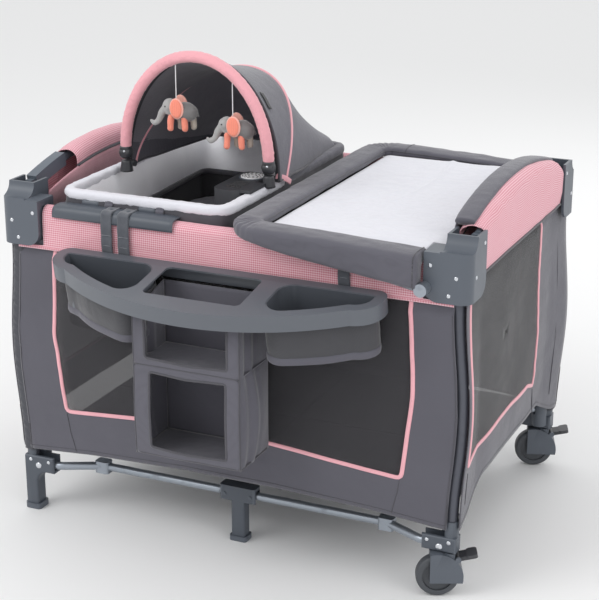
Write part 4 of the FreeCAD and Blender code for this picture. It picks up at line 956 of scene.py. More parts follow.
def pillow(name, key, low, high, corner, voxel, swell, frames, tufts=()):
    """Padded cushion blown up by a short cloth simulation, flat below and crowned above."""
    inset = 0.45 * swell
    base = superloop(low + Vector((inset, inset, 0)), high - Vector((inset, inset, 0)), corner, 0)
    count = len(base)
    levels = ((0.25, low.z), (0.0, low.z + 0.3 * (high.z - low.z)), (0.0, low.z + 0.7 * (high.z - low.z)),
              (0.3, high.z - swell * 0.4))
    middle = (low + high) / 2
    points = []
    for pull, z in levels:
        for point in base:
            run = Vector((point.x - middle.x, point.y - middle.y, 0))
            points.append(Vector((point.x, point.y, z)) - run.normalized() * pull * (high.z - low.z))
    faces = ring_faces(len(levels) - 1, count)
    faces.append(tuple(range(count)))
    faces.append(tuple(range((len(levels) - 1) * count, len(levels) * count)))
    obj = mesh(name, points, faces, key)
    modify(obj, "REMESH", mode="VOXEL", voxel_size=voxel, use_smooth_shade=True)
    apply_modifiers(obj)
    inflate(obj, frames, swell, tufts, low.z)
    modify(obj, "SUBSURF", levels=1, render_levels=1)
    return obj


def inflate(obj, frames, swell, tufts, floor_z):
    """Blows a closed mesh up as cloth, holds tufted points down and limits how far points move."""
    start = [vertex.co.copy() for vertex in obj.data.vertices]
    held = obj.vertex_groups.new(name="held")
    for vertex in obj.data.vertices:
        near = min([(Vector(tuft) - vertex.co.xy).length for tuft in tufts], default=1.0)
        hold = 1.0 if vertex.co.z < floor_z + 0.002 else max(0.0, 1 - near / 0.012)
        if hold > 0:
            held.add([vertex.index], hold, "REPLACE")
    modify(obj, "CLOTH")
    settings = obj.modifiers["cloth"].settings
    settings.quality = 4
    settings.mass = 0.25
    settings.tension_stiffness = 12
    settings.compression_stiffness = 4
    settings.shear_stiffness = 4
    settings.bending_stiffness = 0.4
    settings.shrink_min = -0.06
    settings.vertex_group_mass = "held"
    settings.use_pressure = True
    settings.uniform_pressure_force = 4.0
    settings.effector_weights.gravity = 0
    obj.modifiers["cloth"].collision_settings.use_self_collision = False
    obj.modifiers["cloth"].point_cache.frame_end = frames
    scene = bpy.context.scene
    for frame_number in range(1, frames + 1):
        scene.frame_set(frame_number)
    apply_modifiers(obj)
    for vertex, before in zip(obj.data.vertices, start):
        moved = vertex.co - before
        if moved.length > swell:
            vertex.co = before + moved.normalized() * swell
        vertex.co.z = max(vertex.co.z, floor_z)
    scene.frame_set(1)


def bolster(name, key, path, half_width, half_height, closed=False, dimple=0.0012, power=0.72):
    """Padded roll along a path, a little uneven and pulled in at its seams."""
    marks = lengths(path)
    total = max(marks[-1], 1e-6)

    def profile(t, angle):
        c, s = math.cos(angle), math.sin(angle)
        wave = 1 + 0.05 * noise.noise(Vector((t * total * 34, angle, half_width * 90)))
        wide = half_width(t) if callable(half_width) else half_width
        tall = half_height(t) if callable(half_height) else half_height
        dents = [dimple * noise.noise(Vector((t * total * 90, 2 * angle, k))) for k in (1, 7)]
        return (wide * wave * math.copysign(abs(c) ** power, c) + dents[0],
                tall * wave * math.copysign(abs(s) ** power, s) + dents[1])

    return sweep(name, key, path, profile, closed=closed)


# ---- bassinet insert ----
def add_insert():
    """Hanging full-size bassinet: cloth shell with sagging walls, bound top edge and hooks."""
    low, high = ends("bassinet_insert")
    shell_x = high.x - 0.0015
    shell_y = 0.303 - 0.0015
    top_z = 0.690
    corner = 0.074
    levels = 26

    def ring(z, inset=0.0):
        size = Vector((shell_x - inset, shell_y - inset, 0))
        return superloop(-size, size, corner, z, 0.012)

    base = ring(0)
    count = len(base)
    points = []
    for level in range(levels + 1):
        share = level / levels
        z = low.z + (top_z - low.z) * share
        for point in base:
            run = Vector((point.x, point.y, 0)).normalized()
            drape = 0.004 * math.sin(math.pi * share) + ripple((point.x, point.y, z * 1.5), 7.0, 0.004)
            points.append(Vector((point.x, point.y, z)) - run * abs(drape))
    faces = ring_faces(levels, count)
    floor_start = len(points)
    for pull in (0.25, 0.5, 0.75):
        for point in base:
            sag = 0.004 * pull
            points.append(Vector((point.x * (1 - pull), point.y * (1 - pull), low.z + 0.001 + sag)))
    previous = 0
    for step in range(3):
        start = floor_start + step * count
        for k in range(count):
            turn = (k + 1) % count
            faces.append((previous + k, start + k, start + turn, previous + turn))
        previous = start
    faces.append(tuple(range(previous, previous + count)))
    shell = thicken(mesh("insert_shell", points, faces, "cloth_dark"), 0.0022, offset=-1)
    hem = bolster("insert_binding", "cloth_solid",
                  [Vector((p.x, p.y, top_z - 0.004)) for p in ring(0, 0.001)],
                  0.0042, 0.0085, closed=True, dimple=0.0005)
    foot = bolster("insert_foot_binding", "cloth_solid",
                   [Vector((p.x, p.y, low.z + 0.012)) for p in ring(0, 0.001)],
                   0.003, 0.006, closed=True, dimple=0.0003)
    obj = joined("insert_cloth", [shell, hem, foot] + insert_hooks(high.z, top_z, shell_y))
    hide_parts("bassinet_insert")
    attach(obj, "carrier")


def insert_hooks(over_z, top_z, shell_y):
    """Straps that hook the insert over the long rails, and its two side tabs."""
    pieces = []
    for x in (0.095, 0.320):
        for sign in (-1, 1):
            out_y = POST_Y + CLOTH_OFF + 0.0046
            line = [(x, sign * (shell_y - 0.001), top_z - 0.03),
                    (x, sign * (shell_y - 0.001), over_z - 0.003),
                    (x, sign * (shell_y + 0.02), over_z - 0.001), (x, sign * out_y, over_z - 0.001),
                    (x, sign * (out_y + 0.001), over_z - 0.018)]
            path = spread(rounded(line, 0.010), 0.004)
            pieces.append(flat_strap("insert_hook", "cloth_dark", path, 0.019, Vector((1, 0, 0))))
    for sign in (-1, 1):
        line = [Vector((-0.250, sign * (shell_y - 0.002), 0.672)), Vector((-0.250, sign * 0.3215, 0.674))]
        pieces.append(flat_strap("insert_tab", "cloth_dark", spread(line, 0.004), 0.018, Vector((1, 0, 0))))
    return pieces


def flat_strap(name, key, path, half_width, across, thickness=0.0022):
    """Woven strap along a path; its width lies along across."""
    columns = 8

    def surface(u, v):
        k = u * (len(path) - 1)
        low = min(int(k), len(path) - 2)
        point = path[low].lerp(path[low + 1], k - low)
        run = (path[low + 1] - path[low]).normalized()
        out = run.cross(across).normalized()
        bend = 0.0006 * math.sin(u * 30) + 0.0007 * math.cos(math.pi * (2 * v - 1))
        return point + across * half_width * (2 * v - 1) + out * bend

    return thicken(grid(name, key, surface, len(path) * 2, columns), thickness)


def add_insert_mattress():
    """Thin padded mattress on the insert's floor."""
    low, high = ends("insert_mattress")
    obj = pillow("insert_mattress_pad", "white", low, high, 0.06, 0.009, 0.006, 8)
    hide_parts("insert_mattress")
    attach(obj, "carrier")


# ---- napper ----
NAPPER_LOW, NAPPER_HIGH = ends("napper_tub")
RIM_TOP = NAPPER_HIGH.z


def add_napper():
    """Napper: white padded bumper over the rim and down inside, mesh below it, dark sagging skirt outside."""
    low, high = NAPPER_LOW, NAPPER_HIGH
    rim = 0.023
    ring = superloop(low + Vector((rim / 2, rim / 2, 0)), high - Vector((rim / 2, rim / 2, 0)), 0.034,
                     RIM_TOP - rim / 2, 0.008)
    rolls = rim_rolls(ring)
    skirt = napper_side("napper_skirt", "cloth_dark", ring, 0.0085, RIM_TOP - 0.013, RIM_TOP - 0.078, 0.007)
    body_ring = superloop(Vector((low.x + 0.018, low.y + 0.018, 0)),
                          Vector((high.x - 0.018, high.y - 0.018, 0)),
                          0.030, 0, 0.008)
    # The bumper's extra-bright white is painted light on its shaded inner face.
    bumper = napper_side("napper_bumper", "white_painted_lit", body_ring, -0.001, RIM_TOP - 0.008,
                         RIM_TOP - 0.096, 0.010, 0.020)
    veil = napper_side("napper_mesh", "net", body_ring, -0.020, RIM_TOP - 0.090, low.z + 0.003, 0.002)
    floor = napper_side("napper_floor", "cloth_dark", body_ring, -0.020, low.z + 0.016, low.z + 0.001, 0.0,
                        floor=True)
    middle = sum(body_ring, Vector()) / len(body_ring)
    edge_ring = [point - (point - middle).normalized() * 0.0215 + Vector((0, 0, RIM_TOP - 0.097))
                 for point in body_ring]
    binding = bolster("napper_binding", "cloth_dark", edge_ring, 0.0050, 0.0062, closed=True, dimple=0.0004)
    obj = joined("napper_cloth", rolls + [skirt, bumper, veil, floor, binding] + napper_trim())
    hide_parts("napper_tub")
    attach(obj, "carrier")
    pad_low = Vector((low.x + 0.029, low.y + 0.032, low.z + 0.006))
    pad_high = Vector((high.x - 0.029, high.y - 0.032, low.z + 0.033))
    pad = pillow("napper_pad", "cloth_solid", pad_low, pad_high, 0.045, 0.006, 0.012, 14)
    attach(pad, "carrier")


def napper_side(name, key, ring, out, top_z, low_z, puff, slant=0.0, floor=False):
    """Cloth wall below the napper's rim, out past its ring; slant leans its foot inward."""
    middle = sum(ring, Vector()) / len(ring)
    count = len(ring)
    rows = 14
    points = []
    for row in range(rows + 1):
        share = row / rows
        for point in ring:
            run = Vector((point.x - middle.x, point.y - middle.y, 0)).normalized()
            lump = noise.noise(Vector((point.x * 16, point.y * 16, 2)))
            crease = noise.noise(Vector((point.x * 60, point.y * 60, 5 + share)))
            bulge = puff * math.sin(math.pi * share) ** 0.7 * (0.75 + 0.5 * lump + 0.18 * crease)
            bulge = -bulge if out < 0 else bulge * 0.5
            bulge -= slant * share
            drop = 0.010 * lump * share if puff > 0.005 and out > 0 else 0.0
            points.append(Vector((point.x, point.y, top_z + (low_z - top_z) * share + drop)) + run
                          * (out + bulge))
    faces = ring_faces(rows, count)
    if floor:
        faces.append(tuple(range(rows * count, (rows + 1) * count)))
    return thicken(mesh(name, points, faces, key), 0.0016)


def rim_rolls(ring):
    """Roll over the rim: white, and painted dark grey at the rear and the right, where the shade under the
    hood's edge falls.
    """
    # The rear and right stretch, which the hood shades, gets painted shade.
    def in_hood_shade(point):
        right = point.x > ARCH_X and point.y > -0.05
        return right or point.y > NAPPER_HIGH.y - 0.03

    first = next(k for k in range(len(ring)) if in_hood_shade(ring[k]) and not in_hood_shade(ring[k - 1]))
    turned = ring[first:] + ring[:first]
    count = sum(1 for point in ring if in_hood_shade(point))
    dark, white = turned[:count], turned[count - 1:] + turned[:1]
    # The shaded stretch is made in the grey cover cloth as painted shade.
    return [bolster("napper_roll", "white", white, 0.0120, 0.0112, dimple=0.0016),
            bolster("napper_roll_painted_shade", "cloth_solid", dark, 0.0118, 0.0110, dimple=0.0012)]


def napper_trim():
    """The two tabs with snaps on the front of the skirt."""
    pieces = []
    for x in (NAPPER_LOW.x + 0.125, NAPPER_LOW.x + 0.245):
        y = NAPPER_LOW.y - 0.001
        line = [(x, y + 0.002, RIM_TOP - 0.016), (x, y - 0.0035, RIM_TOP - 0.026),
                (x, y - 0.002, RIM_TOP - 0.048)]
        pieces.append(flat_strap("napper_tab", "cloth_solid", spread(rounded(line, 0.006), 0.003), 0.009,
                                 Vector((1, 0, 0))))
        pieces.append(rivet(Vector((x, y - 0.0042, RIM_TOP - 0.034)), Vector((0, -1, 0)), 0.0038))
    return pieces


def socket_profile(t, angle):
    """Round section of a toy bar socket, narrower towards its top."""
    radius = 0.0145 - 0.0035 * t
    return radius * math.cos(angle), radius * math.sin(angle)


def add_saddles():
    """Moulded saddles of the napper over the long rails, and the sockets of the toy bar."""
    low, high = ends("napper_mounts")
    saddle_top = LONG_CAP_Z + 0.006
    mid = (high.y + POST_Y - 0.0245) / 2
    half = (high.y - POST_Y + 0.0245) / 2 + 0.0012
    pieces = []
    for sign in (-1, 1):
        def surface(u, v):
            x = low.x + 0.283 * u
            ends = min(1.0, min(u, 1 - u) * 14)
            turn = math.pi * (0.02 + 0.96 * v)
            c, s = math.cos(turn), math.sin(turn)
            y = half * math.copysign(abs(c) ** 0.5, c) * (0.94 + 0.06 * ends)
            z = saddle_top - 0.030 + 0.031 * s ** 0.55 * (0.95 + 0.05 * ends)
            return Vector((x, sign * (mid + y), z))

        pieces.append(thicken(grid("napper_saddle", "plastic", surface, 46, 26), 0.0026, offset=0))
        for x in (low.x + 0.07, low.x + 0.205):
            foot = [Vector((x, sign * (POST_Y - 0.018), saddle_top - 0.004)),
                    Vector((x, sign * (POST_Y - 0.020), saddle_top + 0.006)),
                    Vector((x, sign * (POST_Y - 0.022), RIM_TOP - 0.022))]
            pieces.append(sweep("saddle_neck", "plastic", foot, box_profile(0.021, 0.008),
                                up=Vector((0, 1, 0))))
    for sign in (-1, 1):
        x = ARCH_X + sign * 0.172
        path = [Vector((x, TOY_BAR_Y, RIM_TOP - 0.004 + 0.0035 * n)) for n in range(8)]
        pieces.append(sweep("toy_bar_socket", "plastic_dark", path, socket_profile, up=Vector((0, 1, 0))))
    obj = joined("napper_saddles", pieces)
    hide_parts("napper_mounts")
    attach(obj, "carrier")


# ---- canopy ----
CANOPY_LOW, CANOPY_HIGH = ends("canopy_cover")
CANOPY_Y = CANOPY_LOW.y
CANOPY_HALF = (CANOPY_HIGH.x - CANOPY_LOW.x) / 2 - 0.002
CANOPY_BASE = CANOPY_LOW.z + 0.001


def canopy_arch(turn, share):
    """Point of the hood: turn 0 to 1 goes over a bow, share 0 to 1 from the front bow to the rear edge."""
    knots = (
        (0.00, 0.000, 0.000, 0.254, 1.00, 0.000),
        (0.50, 0.038, 0.189, 0.194, 0.99, -0.004),
        (0.86, 0.366, 0.030, 0.040, 0.82, -0.010),
        (1.00, 0.384, 0.022, 0.004, 0.82, -0.014))
    k = max(n for n in range(len(knots) - 1) if knots[n][0] <= share)
    first, second = knots[k], knots[k + 1]
    t = (share - first[0]) / (second[0] - first[0])
    base_y, reach_y, height, width, drop = (first[n] + (second[n] - first[n]) * t for n in (1, 2, 3, 4, 5))
    angle = math.pi * turn
    over = math.sin(angle)
    taut = -0.005 * math.sin(math.pi * t) * over * (k < 2)
    pinch = 1 - 0.10 * over ** 2 * (share > 0.5) * min(1.0, 3 * share - 1.5)
    x = ARCH_X - CANOPY_HALF * width * math.cos(angle) * pinch
    rise = over ** (0.94 if share <= 0.5 else 0.94 - 0.5 * (share - 0.5))
    y = CANOPY_Y + base_y + reach_y * rise ** 1.3
    z = CANOPY_BASE + height * rise + taut + drop
    soft = ripple((x, y, z), 8.0, 0.005) * math.sin(math.pi * min(1.0, share)) ** 0.5
    pleat = 0.0014 * math.sin(share * 60) * math.exp(-((share - 0.5) / 0.06) ** 2)
    return Vector((x, min(y + soft * 0.4, 0.316), z + soft + pleat))


def canopy_lining(u, v):
    """A place on the hood's lining, just inside the sheet."""
    return canopy_arch(0.02 + 0.96 * u, 0.02 + 0.95 * v) - Vector((0, 0, 0.0030))


def add_canopy():
    """Hood: one curved sheet over two bows, with pink piping on the second."""
    cover = thicken(grid("canopy_sheet", "cloth_solid", canopy_arch, 110, 80), 0.0020)
    # The lining's light grey is painted light that lifts the shade inside the hood.
    lining = thicken(grid("canopy_lining", "hood_lining", canopy_lining, 70, 50), 0.0012)
    pieces = [cover, lining]
    path = [canopy_arch(n / 120, 0.5) + Vector((0, 0, 0.0016)) for n in range(121)]
    pieces.append(sweep("canopy_piping", "pink_band", path, round_profile(0.0036), up=Vector((0, 1, 0))))
    foot = canopy_arch(1.0, 0.5)
    tail = [foot + Vector((-0.004, -0.040, 0.014)), foot + Vector((0.003, -0.014, 0.004)),
            foot + Vector((0.004, 0.012, -0.010))]
    pieces.append(sweep("canopy_tail", "pink_band", curve_through(tail, 20), box_profile(0.0022, 0.0060)))
    for share in (0.0, 1.0):
        edge = [canopy_arch(n / 120, share) for n in range(121)]
        pieces.append(sweep("canopy_edge_binding", "cloth_dark", edge, round_profile(0.0030),
                            up=Vector((0, 1, 0))))
    for turn in (0.0, 1.0):
        side = [canopy_arch(turn, n / 60) for n in range(61)]
        pieces.append(sweep("canopy_side_binding", "cloth_dark", side, round_profile(0.0028),
                            up=Vector((1, 0, 0))))
    tag_at = [canopy_arch(0.74 + 0.02 * n, 0.10) for n in range(2)]
    across = (tag_at[1] - tag_at[0]).normalized()
    down = (canopy_arch(0.76, 0.20) - canopy_arch(0.76, 0.06)).normalized()
    out = across.cross(down).normalized()
    out = out if out.x > 0 else -out
    middle = canopy_arch(0.77, 0.10) + out * 0.0030

    def tag(u, v):
        return middle + across * 0.040 * (u - 0.5) + down * 0.016 * (v - 0.5) + out * 0.0006 * math.sin(u * 5)

    pieces.append(thicken(grid("canopy_tag", "rubber", tag, 12, 8), 0.0009))
    obj = joined("canopy_hood", pieces)
    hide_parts("canopy_cover")
    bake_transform(obj)
    return obj


# ---- toy bar and toys ----
def add_toy_bar():
    """Padded arch with small gathers, almost down to its moulded end joints."""
    half = (TOY_BAR_HIGH.x - TOY_BAR_LOW.x) / 2 - 0.013
    base_z = TOY_BAR_LOW.z + 0.020
    height = TOY_BAR_HIGH.z - 0.0115 - base_z

    def arch(n, count, from_turn=0.0):
        turn = math.pi * (from_turn + (1 - 2 * from_turn) * n / count)
        return Vector((ARCH_X - half * math.cos(turn), TOY_BAR_Y, base_z + height * math.sin(turn)))

    padded = spread([arch(n, 160, 0.004) for n in range(161)], 0.0024)

    def roll(t, angle):
        ends = min(1.0, min(t, 1 - t) * 40) ** 0.5
        gather = noise.noise(Vector((t * 95 + 0.6 * math.cos(angle), 1.1 * angle, 0)))
        fine = noise.noise(Vector((t * 240, 2.1 * angle, 4)))
        radius = 0.0124 * (1 + 0.085 * gather + 0.03 * fine) * (0.88 + 0.12 * ends)
        return (radius * math.cos(angle), radius * math.sin(angle))

    pieces = [sweep("toy_bar_pad", "pink_soft", padded, roll, up=Vector((0, 1, 0)))]
    for side in (-1, 1):
        x = ARCH_X + side * half
        arm = [Vector((x, TOY_BAR_Y, base_z - 0.010 + 0.003 * n)) for n in range(7)]
        pieces.append(sweep("toy_bar_arm", "plastic_dark", arm, box_profile(0.0120, 0.0125, 0.6),
                            up=Vector((0, 1, 0))))
        hub = [Vector((x - 0.013 + 0.00325 * n, TOY_BAR_Y, base_z - 0.006)) for n in range(9)]
        pieces.append(sweep("toy_bar_joint", "plastic_dark", hub, lambda t, angle: (
            0.0138 * (1 - 0.35 * abs(2 * t - 1) ** 6) * math.cos(angle),
            0.0138 * (1 - 0.35 * abs(2 * t - 1) ** 6) * math.sin(angle))))
        pieces.append(rivet(Vector((x + 0.002, TOY_BAR_Y - 0.0128, base_z - 0.002)), Vector((0, -1, 0)),
                            0.003))
    obj = joined("toy_bar_roll", pieces)
    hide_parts("toy_bar")
    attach(obj, "toy_bar")


def blob(name, key, parts, voxel=0.0022):
    """One stuffed form from balls and limbs: (place, radius) or (place, place, radius, radius)."""
    whole = bmesh.new()
    for part in parts:
        if len(part) == 2:
            place, radius = part
            bmesh.ops.create_icosphere(whole, subdivisions=3, radius=radius, matrix=Matrix.Translation(place))
            continue
        first, last, first_r, last_r = part
        for n in range(7):
            share = n / 6
            bmesh.ops.create_icosphere(whole, subdivisions=2, radius=first_r + (last_r - first_r) * share,
                                       matrix=Matrix.Translation(first.lerp(last, share)))
    data = bpy.data.meshes.new(name)
    whole.to_mesh(data)
    whole.free()
    obj = bpy.data.objects.new(name, data)
    bpy.context.collection.objects.link(obj)
    modify(obj, "REMESH", mode="VOXEL", voxel_size=voxel, use_smooth_shade=True)
    modify(obj, "SMOOTH", factor=0.6, iterations=7)
    apply_modifiers(obj)
    data = obj.data
    if not data.uv_layers:
        data.uv_layers.new(name="metres")
    for vertex in data.vertices:
        vertex.co += vertex.normal * ripple(vertex.co, 70.0, 0.0011)
    paint(obj, key)
    return obj


def ear(name, key, root, side, size):
    """Flat oval stuffed ear beside the head."""
    def surface(u, v):
        angle = 2 * math.pi * u
        reach = v * (1 + 0.06 * math.cos(2 * angle + 0.6))
        puff = 0.0026 * (1 - v ** 3)
        return root + Vector((size[0] * reach * math.cos(angle) + 0.002 * v, side * (puff + 0.002 * v * v),
                              size[1] * reach * math.sin(angle)))
    return thicken(grid(name, key, surface, 30, 8, closed=True), 0.0030)


def add_toy(side):
    """Stuffed elephant: pale head with a curled trunk, darker body, coral ears, coral and beige legs."""
    low, high = ends("toy_" + side)
    string_low, string_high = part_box("toy_cord_" + side)
    top = Vector(((string_low[0] + string_high[0]) / 2, (low.y + high.y) / 2, string_low[2]))
    head = top + Vector((-0.014, 0, -0.018))
    trunk = curve_through([head + Vector((-0.008, 0, -0.004)), head + Vector((-0.017, 0, -0.014)),
                           head + Vector((-0.024, 0, -0.029)), head + Vector((-0.034, 0, -0.038)),
                           head + Vector((-0.0415, 0, -0.032))], 16)
    pale = [(head, 0.0165), (head + Vector((0.004, 0, -0.006)), 0.0155),
            (top + Vector((0, 0, 0.001)), top + Vector((0, 0, -0.010)), 0.0022, 0.0040)]
    for n in range(len(trunk) - 1):
        pale.append((trunk[n], trunk[n + 1], 0.0098 - 0.00036 * n, 0.0096 - 0.00036 * n))
    body = [(top + Vector((0.006, 0, -0.030)), 0.0180), (top + Vector((0.020, 0, -0.028)), 0.0205),
            (top + Vector((0.028, 0, -0.031)), 0.0190)]
    pieces = [blob("toy_head", "plush", pale), blob("toy_body", "plush_dark", body)]
    legs = ((-0.010, -0.009, "coral"), (0.006, 0.009, "beige"), (0.019, -0.010, "coral"),
            (0.034, 0.009, "beige"))
    for x, y, key in legs:
        hip = top + Vector((x, y, -0.040))
        sole = top + Vector((x + (0.001 if x > 0 else -0.002), y, -0.0635))
        pieces.append(blob("toy_leg", key, [(hip, sole, 0.0078, 0.0074)], 0.0016))
    for out in (-1, 1):
        root = top + Vector((0.003, out * 0.0172, -0.019))
        pieces.append(ear("toy_ear_rim", "coral_pale", root, out, (0.0142, 0.0232)))
        pieces.append(ear("toy_ear", "coral", root + Vector((-0.0012, out * 0.0012, 0)), out,
                          (0.0116, 0.0206)))
        pieces.append(blob("toy_eye", "plastic_dark",
                           [(head + Vector((-0.0075, out * 0.0145, 0.002)), 0.0019)], 0.0008))
    tail = [top + Vector((0.045 + 0.0006 * n, 0, -0.026 - 0.0026 * n)) for n in range(6)]
    pieces.append(sweep("toy_tail", "plush_dark", tail, round_profile(0.0015)))
    obj = joined("elephant_" + side, pieces)
    about = Matrix.Translation(top) @ Matrix.Rotation(math.radians(15), 4, "Z") @ Matrix.Translation(-top)
    obj.data.transform(about)
    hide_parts("toy_" + side)
    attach(obj, "toy_" + side)


# ---- changing table ----
RIM_LOW, RIM_HIGH = ends("changer_rim")
CHANGER_X = RIM_LOW.x
CHANGER_END_X = 0.424


def add_changer():
    """Padded cover of the changing table's tube: two tapered sides, rounded corners and the cross piece."""
    stations = changer_stations()
    rings = [rim_ring(station, number) for number, station in enumerate(stations)]
    sides = len(rings[0])
    marks = lengths([ring[0] for ring in rings])
    points = [point for ring in rings for point in ring]
    uvs = [(marks[n], 0.004 * k) for n in range(len(rings)) for k in range(sides)]
    faces = [(n * sides + k, (n + 1) * sides + k, (n + 1) * sides + (k + 1) % sides,
              n * sides + (k + 1) % sides)
             for n in range(len(rings) - 1) for k in range(sides)]
    faces += [tuple(range(sides)), tuple(range((len(rings) - 1) * sides, len(rings) * sides))]
    pieces = [modify(mesh("changer_cover", points, faces, "cloth_solid", uvs), "SUBSURF", levels=1,
                     render_levels=1)]
    inner = [station[0] + Vector((0, 0, station[3] - 0.010)) for station in stations]
    pieces.append(seam("changer_inner_seam", "cloth_dark", inner, 0.0014))
    for number in (1, len(rings) - 2, len(rings) - 40):
        heart = sum(rings[number], Vector()) / sides
        loop = [heart + (point - heart) * 1.004 for point in rings[number]]
        pieces.append(sweep("changer_seam", "cloth_dark", loop, round_profile(0.0011), closed=True))
    obj = joined("changer_padding", pieces)
    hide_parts("changer_rim")
    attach(obj, "changer")


def changer_stations():
    """Stations of the padded rim: inner edge, outward direction, width, top and foot heights, gather."""
    inner_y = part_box("changer_pad")[1][1] + 0.001
    outer_y = RIM_HIGH.y
    inner_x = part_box("changer_pad")[0][0] - 0.001
    side_wide = outer_y - inner_y
    end_wide = inner_x - CHANGER_X
    radius = 0.018
    made = []
    for n in range(44):
        share = 1 - n / 43
        x = inner_x + radius + (CHANGER_END_X - inner_x - radius) * share
        top = RIM_HIGH.z + (0.722 - RIM_HIGH.z) * share ** 1.3
        foot = 0.700 + (0.6515 - 0.700) * share ** 0.8
        made.append((Vector((x, -inner_y, 0)), Vector((0, -1, 0)), side_wide, top, foot, 0.0))
    centre_at = Vector((inner_x + radius, -inner_y + radius, 0))
    for n in range(1, 26):
        turn = math.pi / 2 * n / 26
        run = Vector((-math.sin(turn), -math.cos(turn), 0))
        ease = n / 26
        wide = side_wide + (end_wide - side_wide) * ease
        made.append((centre_at + run * radius, run, wide, RIM_HIGH.z, 0.700 + 0.012 * ease,
                     math.sin(math.pi * ease)))
    for n in range(0, 26):
        y = (-inner_y + radius) * (1 - n / 25)
        made.append((Vector((inner_x, y, 0)), Vector((-1, 0, 0)), end_wide, RIM_HIGH.z, 0.712, 0.0))
    back = [(Vector((at.x, -at.y, 0)), Vector((run.x, -run.y, 0)), *rest)
            for at, run, *rest in reversed(made[:-1])]
    return made + back


def rim_ring(station, number, sides=44):
    """Closed section of the padded rim at one station: crowned top, and outside a flap that hangs down."""
    at, run, wide, top, foot, gather = station
    flap = 0.030
    pairs = [(0.0, 0.7125), (0.0, top - 0.003), (wide * 0.5, top), (wide, top - 0.004), (wide, foot),
             (wide - flap, foot), (wide - flap - 0.001, min(0.7125, top - 0.006))]
    line = spread(rounded([(s, z, 0) for s, z in pairs], 0.0095, closed=True, steps=5), 0.002, closed=True)
    marks = lengths(line + [line[0]])
    ring = []
    k = 0
    for n in range(sides):
        goal = marks[-1] * n / sides
        while marks[k + 1] < goal:
            k += 1
        s, z, _ = line[k].lerp(line[(k + 1) % len(line)], (goal - marks[k]) / (marks[k + 1] - marks[k]))
        soft = 0.0016 * noise.noise(Vector((number * 0.21, s * 45, z * 45)))
        pucker = 0.0016 * gather * math.sin(number * 1.9) * min(1.0, s / 0.03)
        ring.append(at + run * (s + soft + pucker * 0.6) + Vector((0, 0, z + soft + pucker)))
    return ring


def add_changer_pad():
    """White changing pad with soft wrinkles and its padded strip over the arched end rail."""
    low, high = ends("changer_pad")
    pad = changer_pad_mesh(Vector((low.x + 0.0005, low.y + 0.0005, 0.7127)),
                           Vector((POST_X - 0.0325, high.y - 0.0005, 0.7240)))
    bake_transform(pad)
    strip = end_strip()
    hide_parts("changer_pad")
    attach(strip, "carrier")


def changer_pad_mesh(low, high):
    """Pad with notches at the corner castings, as a crowned sheet with soft creases across its dip."""
    notch_x = POST_X - 0.069
    notch_y = POST_Y - 0.037
    creases = ((0.215, 0.05, 5.0, 0.0034), (0.300, -0.06, 3.2, 0.0026), (0.135, 0.10, 7.0, 0.0018))

    def top(u, v):
        x = low.x + (high.x - low.x) * u
        y = low.y + (high.y - low.y) * v
        if x > notch_x and abs(y) > notch_y:
            y = math.copysign(notch_y, y)
        edge = min(x - low.x, high.x - x, high.y - abs(y))
        inside = min(1.0, edge / 0.03)
        crown = 0.009 * (1 - math.exp(-edge / 0.014))
        sag = -0.005 * math.exp(-(((x - 0.22) / 0.14) ** 2 + (y / 0.24) ** 2))
        wrinkle = ripple((x * 1.6, y, 0), 8.0, 0.0040) + ripple((x, y * 2.4, 3), 22.0, 0.0018)
        for middle, swing, rate, size in creases:
            away = x - middle - swing * math.sin(rate * y + 0.8)
            wrinkle += size * math.exp(-(away / 0.007) ** 2) * max(0.0, math.cos(y * 4.6 + rate)) ** 0.5
        return Vector((x, y, low.z + 0.001 + crown + (sag + wrinkle) * inside))

    pad = grid("changer_pad_top", "white", top, 120, 170)
    modify(pad, "SOLIDIFY", thickness=0.006, offset=-1)
    apply_modifiers(pad)
    return pad


def end_strip():
    """Padded dark strip of the changing table over the right end rail, with its inner skirt."""
    y_half = CAP_LIMIT - 0.0005
    rise = 0.0165

    def section(t, angle):
        wide = 0.0215 * (0.9 + 0.1 * min(1.0, min(t, 1 - t) * 24))
        tall = 0.0068 * (1 + 0.10 * noise.noise(Vector((t * 34, angle, 2))))
        c, s = math.cos(angle), math.sin(angle)
        return (wide * math.copysign(abs(c) ** 0.7, c), tall * math.copysign(abs(s) ** 0.7, s))

    path = [Vector((POST_X - 0.0175, y_half * (2 * n / 90 - 1), 0)) for n in range(91)]
    for point in path:
        point.z = arch_z(point.y, rise) + 0.0072
    top = sweep("end_strip_top", "cloth_solid", path, section)

    def skirt(u, v):
        y = y_half * (2 * u - 1)
        z = arch_z(y, rise) + 0.005 - 0.040 * v
        puff = 0.003 * math.sin(math.pi * v) + ripple((y, z, 9), 20.0, 0.002)
        return Vector((POST_X - CAP_HALF - 0.0062 - puff, y, z))

    inner = thicken(grid("end_strip_skirt", "cloth_solid", skirt, 70, 10), 0.003)
    return joined("end_strip", [top, inner])


# ---- organizer ----
TRAY_HIGH = ends("organizer_tray")[1]
DECK_LOW_Z = TRAY_HIGH.z - 0.034
TRAY_TILT = math.radians(10)
BIN_DEEP = 0.118
BIN_MIDDLE = {-1: Vector((-0.234, -0.442, 0)), 1: Vector((0.245, -0.440, 0))}


def tilted(point):
    """A place on the level tray, turned with it: the front edge hangs lower."""
    hinge = Vector((0, -0.376, TRAY_HIGH.z))
    return hinge + Matrix.Rotation(TRAY_TILT, 3, "X") @ (Vector(point) - hinge)


def tray_reach(side, angle, z):
    """How far the bin's CAD wall is from the bin's middle, in a direction along the tray."""
    start = tilted(BIN_MIDDLE[side] + Vector((0, 0, z)))
    run = Matrix.Rotation(TRAY_TILT, 3, "X") @ Vector((math.cos(angle), math.sin(angle), 0))
    hit, place, _, _ = nodes["organizer_tray"].ray_cast(start, run, distance=0.4)
    return (place - start).length if hit else 0.09


